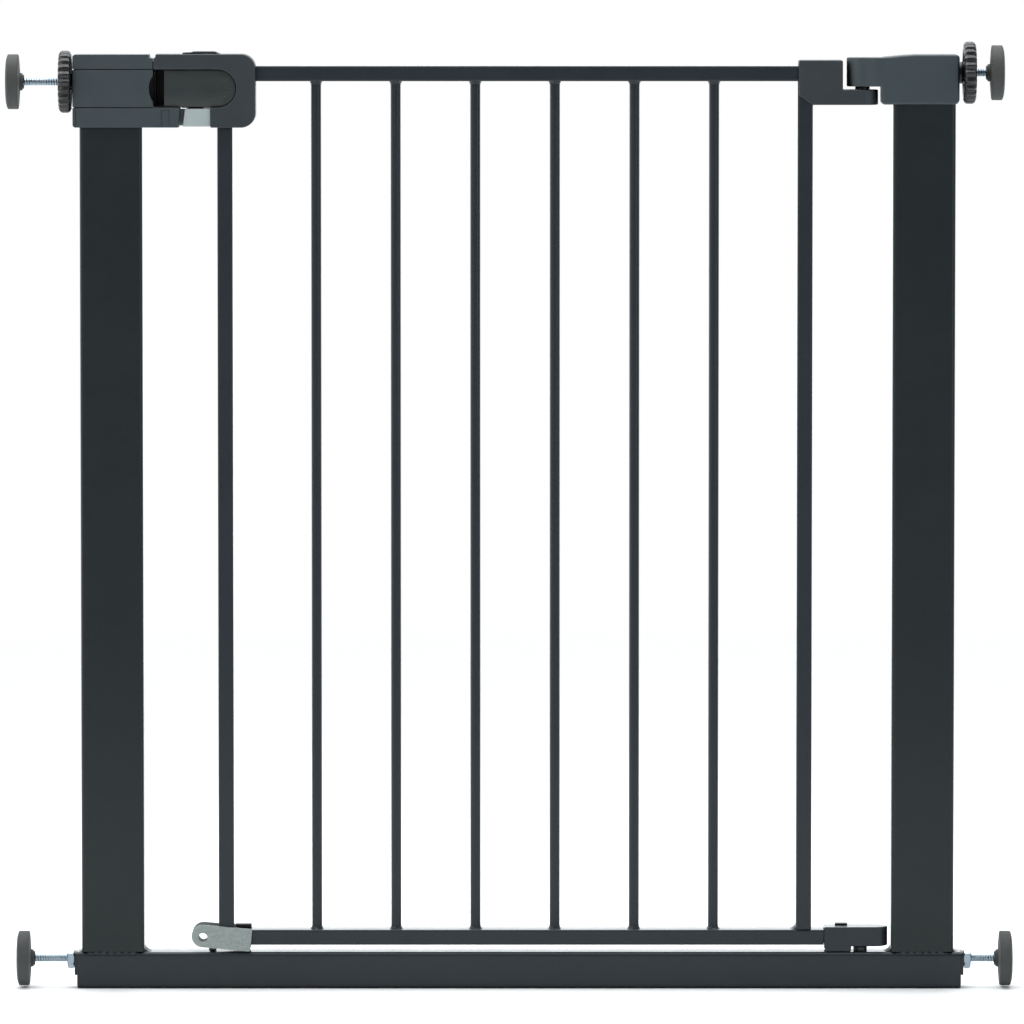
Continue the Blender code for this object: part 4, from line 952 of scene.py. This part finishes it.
def housing_shells():
    """The front shell, open round the lever, and the rear one with its bosses, slots and screw seats."""
    front_y = (HOUSING.front, HOUSING.back)
    front = hollow_shell("front_shell", front_y, (HOUSING.front + SHELL_WALL, 0.001), False)
    carve(front, *housing_pockets((HOUSING.front, 0.001)))
    stand_for(front, "housing_plastic", "handle_housing_front")

    rear_y = (GAP / 2, REAR_SHELL.back)
    rear = hollow_shell("rear_shell", rear_y, (-0.001, REAR_SHELL.back - SHELL_WALL), True)
    spring = Extent("slider_spring")
    inside = REAR_SHELL.back - 0.001
    post_x = (spring.left - 0.0025, spring.left)
    inner = [block("spring_post", post_x, (REAR_SHELL.front, inside), (0.699, 0.709))]
    heads = []
    boss_radius = 0.0038
    seat_radius = 0.0034
    for node in HOUSING_SCREWS:
        screw = Extent(node)
        boss_depth = inside - GAP
        middle = (screw.middle.x, (inside + GAP) / 2, screw.middle.z)
        inner.append(rod(node + "_boss", boss_radius, boss_depth, TO_BACK, middle))
        place = (screw.middle.x, REAR_SHELL.back, screw.middle.z)
        heads.append(rod(node + "_seat", seat_radius, 0.0044, TO_BACK, place))
    fuse(rear, *inner)
    side_x = (HOUSING.left - 0.001, HOUSING.left + SHELL_WALL)
    side_notch = block("side_notch", side_x, (-0.001, 0.0026), (TONGUE_TOP + 0.0015, HOLLOW_TOP - 0.0005))
    carve(rear, side_notch, *housing_pockets((-0.001, REAR_SHELL.back)))
    slot_y = (LINK_Y[0] - 0.0008, LINK_Y[1] + 0.0008)
    link_slot_x = (-0.2595, -0.2405)
    stem_slot_x = (-0.2565, -0.2425)
    heads.append(block("link_slot", link_slot_x, slot_y, (TONGUE_TOP - 0.001, TONGUE_TOP + 0.005)))
    heads.append(block("stem_slot", stem_slot_x, slot_y, (HOUSING.top - 0.004, HOUSING.top + 0.002)))
    carve(rear, *heads)
    # The rear shell wears the darker copy of the housing plastic: painted shade in the recess
    stand_for(rear, "housing_plastic", "handle_housing_rear", "shaded_shell_plastic")


def lever():
    """The slide lever: a gently crowned plate with a fan of grip ribs at its round end."""
    radius = RECESS_RADIUS - CLEARANCE
    plate_left = LEVER.left + 0.0026
    outline = arc(RECESS_END_X, HOLLOW_Z, radius, -90, 90, 36)
    outline += [(plate_left, LEVER.top), (plate_left, LEVER.bottom)]
    thickness = 0.0028
    middle = (0, LEVER.front + thickness / 2, 0)
    plate = prism("lever_plate", [outline], thickness, FACING, middle)
    crown_radius = 0.06
    crown_place = (RECESS_END_X, LEVER.front + crown_radius, HOLLOW_Z)
    crown = rod("crown", crown_radius, 0.1, TO_RIGHT, crown_place, 240)
    combine(plate, "INTERSECT", [crown])
    soften(plate, 0.0006)
    ribs = [block("lug", (-0.246, -0.243), (LEVER.front + 0.0019, -0.002), (0.7, 0.708))]
    count = 9
    fan = 116
    inner, outer = 0.0066, 0.0116
    for number in range(count):
        angle = radians(fan * number / (count - 1) - fan / 2)
        direction = Vector((cos(angle), sin(angle)))
        side = Vector((-direction.y, direction.x)) * 0.0004
        start = Vector((RECESS_END_X, HOLLOW_Z)) + direction * inner
        stop = Vector((RECESS_END_X, HOLLOW_Z)) + direction * outer
        corners = [tuple(start - side), tuple(stop - side), tuple(stop + side), tuple(start + side)]
        dip = abs(sin(angle)) * 0.0005
        ribs.append(prism(f"rib_{number}", [corners], 0.0016, FACING, (0, LEVER.front + 0.0006 + dip, 0)))
    fuse(plate, *ribs)
    stand_for(plate, "lever_plastic", "lock_slider")


def bolt():
    """The pale bolt under the lever, its nose in the keeper's slot, and the link up to the button."""
    body_left = BOLT.left + 0.0066
    top = TONGUE_TOP - 0.0009
    heel = BOLT.right + GAP
    outline = [(body_left - 0.0006, BOLT.bottom), (heel, BOLT.bottom), (heel, top), (body_left + 0.0012, top)]
    body = soften(prism("bolt_body", [outline], BOLT.depth, FACING), 0.0007)
    nose_x = (BOLT.left, body_left + 0.006)
    nose = block("nose", nose_x, (-0.0052, 0.0052), (BOLT.bottom + 0.0005, top - GAP))
    fuse(body, soften(nose, 0.0008), block("link", LINK_X, LINK_Y, (top - 0.004, BOLT.top)))
    stand_for(body, "light_plastic", "latch_bolt")


def button():
    """The thumb button: a low rounded hump with a step at its left end."""
    rise = 0.0018
    base = BUTTON.top - rise
    left, right = BUTTON.left, BUTTON.right
    outline = [(left, base), (right, base), *arc(right - 0.0055, BUTTON.top - 0.0055, 0.0055, 50, 90, 8)]
    outline += [(left + 0.0088, BUTTON.top), (left + 0.0066, base + 0.0011), (left + 0.0004, base + 0.0009)]
    cap = soften(prism("button_cap", [outline], BUTTON.depth, FACING), 0.0003)
    fuse(cap, block("stem", STEM_X, LINK_Y, (BUTTON.bottom, base + 0.0006)))
    # The button wears the lighter copy of the housing plastic: painted light
    stand_for(cap, "housing_plastic", "thumb_button", "lit_button_plastic")


def coil(node):
    """A compression spring along X with closed end turns."""
    extent = Extent(node)
    turns = 7
    per_turn = 28
    sides = 10
    wire = 0.0003
    radius = extent.height / 2 - wire
    length = extent.width - 2 * wire
    forward = Vector((1, 0, 0))
    rings = []
    count = turns * per_turn
    for step in range(count + 1):
        share = step / count
        ease = share - 0.085 * sin(2 * pi * share)
        angle = 2 * pi * turns * share
        centre = Vector((extent.left + wire + length * ease, extent.middle.y, extent.middle.z))
        outward = Vector((0, cos(angle), sin(angle)))
        rings.append([centre + outward * (radius + a) + forward * b for a, b in circle(wire, sides)])
    spring = loft(node + "_coil", rings)
    stand_for(spring, "zinc", node)
    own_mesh(spring)


# ---------------- fasteners and wall fittings


def cross_screw(node):
    """A pan-head screw seen from the back, with a cross recess."""
    screw = Extent(node)
    head = screw.width / 2
    rise = 0.0016 if node in HOUSING_SCREWS else 0.0018
    seat = screw.back - rise
    shank = head * 0.45
    profile = [(0, screw.back), (head * 0.35, screw.back - 0.00003), (head * 0.7, screw.back - 0.00025)]
    profile += [(head * 0.93, screw.back - 0.00075), (head, seat + 0.0004), (head, seat + 0.0001)]
    profile += [(head - 0.0001, seat), (shank, seat), (shank, screw.front + 0.001), (0, screw.front)]
    obj = lathe(node + "_turned", profile, TO_BACK, (screw.middle.x, 0, screw.middle.z), 40)
    arms = []
    depth = (screw.back - rise * 0.62, screw.back + 0.001)
    for wide, high in ((head * 0.5, head * 0.12), (head * 0.12, head * 0.5)):
        x = (screw.middle.x - wide, screw.middle.x + wide)
        z = (screw.middle.z - high, screw.middle.z + high)
        arms.append(block("recess", x, depth, z))
    carve(obj, *arms)
    stand_for(obj, "zinc", node)


def threaded_rod(node, basis):
    """A spindle with a rolled right-hand thread along its whole length and rounded ends."""
    extent = Extent(node)
    pitch = 0.002
    sides = 36
    radius = extent.depth / 2
    length = extent.width
    per_pitch = 10
    thread = 0.0004
    count = int(length / pitch * per_pitch)
    rings = []
    for row in range(count + 1):
        along = length * row / count
        ends = min(along, length - along)
        taper = 0.0007 * max(0.0, 1 - ends / 0.0008)
        ring = []
        for side in range(sides):
            angle = 2 * pi * side / sides
            phase = (along / pitch - side / sides) % 1.0
            crest = min(1.0, 2.6 * abs(phase - 0.5))
            size = radius - thread * (1 - crest) - taper
            ring.append((size * cos(angle), size * sin(angle), along - length / 2))
        rings.append(ring)
    obj = loft(node + "_thread", rings, basis, extent.middle)
    stand_for(obj, "zinc", node)


def wall_pad(node, basis, side):
    """A rubber pad: gripping rings on the wall face, a rounded rim, and a ribbed hub behind."""
    pad = Extent(node)
    face_x = pad.left if side < 0 else pad.right
    rim = pad.height / 2
    profile = [(0.0, 0.0), (0.004, 0.0)]
    for ring in range(4):
        start = 0.0046 + 0.0027 * ring
        profile += [(start, 0.0), (start + 0.0003, -0.0005), (start + 0.0009, -0.0005), (start + 0.0012, 0.0)]
    profile += [(0.0152, 0.0), (0.0175, -0.0003), (0.0195, -0.0008), (rim - 0.0007, -0.0013)]
    profile += [(rim - 0.0002, -0.0016), (rim, -0.0022), (rim, -0.0089), (rim - 0.0002, -0.0095)]
    profile += [(rim - 0.0007, -0.0098), (0.0175, -0.0101), (0.0115, -0.0106), (0.0074, -0.0109)]
    profile += [(0.0068, -0.0113), (0.0067, -0.0125), (0.0063, -0.0129), (0.0054, -0.013)]
    profile += [(0.0054, -pad.width), (SPINDLE_BORE + 0.0003, -pad.width)]
    profile += [(SPINDLE_BORE, -pad.width + 0.0003), (SPINDLE_BORE, -0.006), (0.0, -0.006)]
    obj = lathe(node + "_moulding", profile, basis, (face_x, 0, pad.middle.z), 72)
    stand_for(obj, "pad_rubber", node)


def hand_wheel(node, basis):
    """A knurled hand wheel: deep finger ribs round the rim, a dished web and a hub."""
    wheel = Extent(node)
    rim = wheel.height / 2
    half = wheel.width / 2
    ribs = 24
    per_rib = 12
    rib_depth = 0.0014
    chamfer = 0.0026
    web = half - 0.0026
    rib_root = 0.0184
    upper = [(rim, half - chamfer), (rim - 0.0009, half - 0.0009), (rim - chamfer, half), (rib_root, half)]
    upper += [(0.0178, half - 0.0006), (0.0172, web), (0.009, web), (0.0084, half - 0.0005)]
    upper += [(0.0078, half), (SPINDLE_BORE, half)]
    profile = [(radius, -height) for radius, height in reversed(upper)] + upper
    rings = []
    count = ribs * per_rib
    for step in range(count):
        angle = 2 * pi * step / count
        cut = rib_depth * (0.5 - 0.5 * cos(ribs * angle))
        ring = []
        for radius, height in profile:
            share = max(0.0, min(1.0, (radius - rib_root) / (rim - chamfer - rib_root)))
            size = radius - cut * share
            ring.append((size * cos(angle), size * sin(angle), height))
        rings.append(ring)
    obj = loft(node + "_moulding", rings, basis, wheel.middle, joined=True)
    stand_for(obj, "dark_plastic", node)


def hex_nut(node, basis):
    """A plated hexagon nut with chamfered corners."""
    nut = Extent(node)
    half = nut.width / 2
    flats = min(nut.depth, nut.height)
    corner = flats / sqrt(3)
    outline = arc(0, 0, corner, 90, 450, 6)[:-1]
    obj = prism(node + "_hex", [outline, circle(SPINDLE_BORE, 40)], nut.width, basis, nut.middle)
    edge = corner + 0.0002
    face = flats / 2 * 0.97
    drop = 0.0011
    profile = [(0, half), (face, half), (edge, half - drop), (edge, drop - half), (face, -half), (0, -half)]
    combine(obj, "INTERSECT", [lathe("chamfer", profile, basis, nut.middle, 96)])
    soften(obj, 0.00015, 2, 25)
    stand_for(obj, "zinc", node)


def bushes_and_plugs():
    """The flanged bushes in the caps' sides, and the plugs in the threshold's ends."""
    sleeve = 0.006
    sleeve_length = 0.009
    for side, basis, cap in (("left", TO_LEFT, KEEPER.left), ("right", TO_RIGHT, HINGE_CAP.right)):
        node = f"spindle_bush_top_{side}"
        bush = Extent(node)
        flange = abs((bush.left if side == "left" else bush.right) - cap)
        profile = [(SPINDLE_BORE, flange), (0.0074, flange), (0.0082, flange - 0.0003)]
        profile += [(0.0085, flange - 0.0009), (0.0085, 0)]
        profile += [(sleeve, 0), (sleeve, -sleeve_length), (SPINDLE_BORE, -sleeve_length)]
        obj = lathe(node + "_turned", profile, basis, (cap, 0, bush.middle.z), 56)
        stand_for(obj, "dark_plastic", node)
    for side, sign, basis in (("left", -1, TO_LEFT), ("right", 1, TO_RIGHT)):
        node = f"threshold_plug_{side}"
        plug = Extent(node)
        end_x = THRESHOLD.left if sign < 0 else THRESHOLD.right
        half_y = plug.depth / 2
        half_z = plug.height / 2
        outline = rounded_rectangle(-half_y, half_y, -half_z, half_z, 0.0014)
        length = 0.018
        middle = (end_x - sign * (length / 2 - GAP), 0, plug.middle.z)
        body = prism(node + "_body", [outline], length, TO_RIGHT, middle)
        spindle = Extent(f"spindle_bottom_{side}")
        half_plate = 0.0092
        plate = rounded_rectangle(-half_plate, half_plate, -half_plate, half_plate, 0.003)
        flange = prism("flange", [plate], 0.0046, basis, (end_x, 0, THRESHOLD.top - 0.0095))
        fuse(soften(body, 0.0004), soften(flange, 0.0005))
        carve(body, rod("bore", SPINDLE_BORE, 0.06, basis, (end_x, 0, spindle.middle.z)))
        stand_for(body, "dark_plastic", node)


def wall_fittings():
    for corner in ("top_left", "top_right", "bottom_left", "bottom_right"):
        side = -1 if corner.endswith("left") else 1
        basis = TO_LEFT if side < 0 else TO_RIGHT
        threaded_rod(f"spindle_{corner}", basis)
        wall_pad(f"wall_pad_{corner}", basis, side)
        if corner.startswith("top"):
            hand_wheel(f"hand_wheel_{corner}", basis)
        else:
            hex_nut(f"hex_nut_{corner}", basis)


# ---------------- stage


def floor():
    """A pale floor whose far edge fades into the background."""
    half = 5.0
    drop = 0.0004
    mesh = bpy.data.meshes.new("floor")
    corners = [(-half, -half, 0), (half, -half, 0), (half, half, 0), (-half, half, 0)]
    mesh.from_pydata(corners, [], [(0, 1, 2, 3)])
    obj = new_object("floor", mesh, UPRIGHT, (0, 0, -drop))
    surface = Surface("pale_floor", 0.9, specular=0.1)
    surface.inputs["Base Color"].default_value = (0.86, 0.865, 0.87, 1)
    distance = surface.add("VectorMath", {0: surface.place}, operation="LENGTH").outputs["Value"]
    fade = surface.ramp(distance, 1.0, 3.6, 1.0, 0.0)
    surface.tree.links.new(fade, surface.inputs["Alpha"])
    obj.data.materials.append(surface.material)


def background():
    """White for the camera; for the light, bright behind the object and to its left, dim in front."""
    world = bpy.data.worlds.new("studio")
    bpy.context.scene.world = world
    world.use_nodes = True
    tree = world.node_tree
    tree.nodes.clear()
    bright_side = (-0.4, 0.92, 0)
    values = {0: add_node(tree, "TexCoord").outputs["Generated"], 1: bright_side}
    towards = add_node(tree, "VectorMath", values, operation="DOT_PRODUCT").outputs["Value"]
    values = {"Value": towards, "From Min": -0.3, "From Max": 0.5, "To Min": 0.24, "To Max": 1.8}
    strength = add_node(tree, "MapRange", values, interpolation_type="SMOOTHSTEP").outputs[0]
    glow = add_node(tree, "Background", {"Color": (0.93, 0.97, 1.0, 1), "Strength": strength})
    seen = add_node(tree, "Background", {"Color": (1, 1, 1, 1), "Strength": 1.0})
    from_camera = add_node(tree, "LightPath").outputs["Is Camera Ray"]
    mix = add_node(tree, "MixShader", {0: from_camera, 1: glow.outputs[0], 2: seen.outputs[0]})
    add_node(tree, "OutputWorld", {0: mix.outputs[0]})


def aimed(name, data, place, target):
    """A light or camera at a place, turned towards a target."""
    obj = new_object(name, data, UPRIGHT, place)
    obj.rotation_mode = "QUATERNION"
    obj.rotation_quaternion = (Vector(target) - Vector(place)).to_track_quat("-Z", "Y")
    return obj


def softbox(name, place, target, width, height, power, colour=(1, 1, 1)):
    light = bpy.data.lights.new(name, "AREA")
    light.shape = "RECTANGLE"
    light.size = width
    light.size_y = height
    light.energy = power
    light.color = colour
    aimed(name, light, place, target)


def lights():
    middle = (0, 0, 0.36)
    softbox("overhead", (0, 0.2, 2.6), (0, 0, 0), 2.6, 2.0, 70)
    softbox("key", (-1.5, -1.7, 1.7), middle, 1.2, 1.4, 18, (1.0, 0.99, 0.97))
    softbox("fill", (1.9, -1.5, 1.0), middle, 1.0, 1.6, 9, (0.93, 0.97, 1.0))


def camera():
    """A long lens seven metres in front of the gate, a little above its top and tilted down to its middle."""
    data = bpy.data.cameras.new("camera")
    data.lens = 316.1
    data.sensor_width = 36
    target = (-0.0055, -0.0125, 0.3738)
    bpy.context.scene.camera = aimed("camera", data, (target[0], -7.0125, 0.85), target)


def stage():
    floor()
    background()
    lights()
    camera()
    bpy.context.scene.view_settings.view_transform = "Standard"


# ---------------- assembly


def build():
    frame_tubes()
    frame_welds()
    leaf_tubes()
    leaf_welds()
    keeper_cap()
    hinge_cap()
    hinge_block()
    hinge_turnings()
    latch_bracket()
    bracket_pads()
    hinge_bracket()
    floor_stop()
    housing_shells()
    lever()
    bolt()
    button()
    coil("bolt_spring")
    coil("slider_spring")
    for node in (*CAP_SCREWS, "hinge_block_screw", *HOUSING_SCREWS):
        cross_screw(node)
    bushes_and_plugs()
    wall_fittings()
    stage()


build()
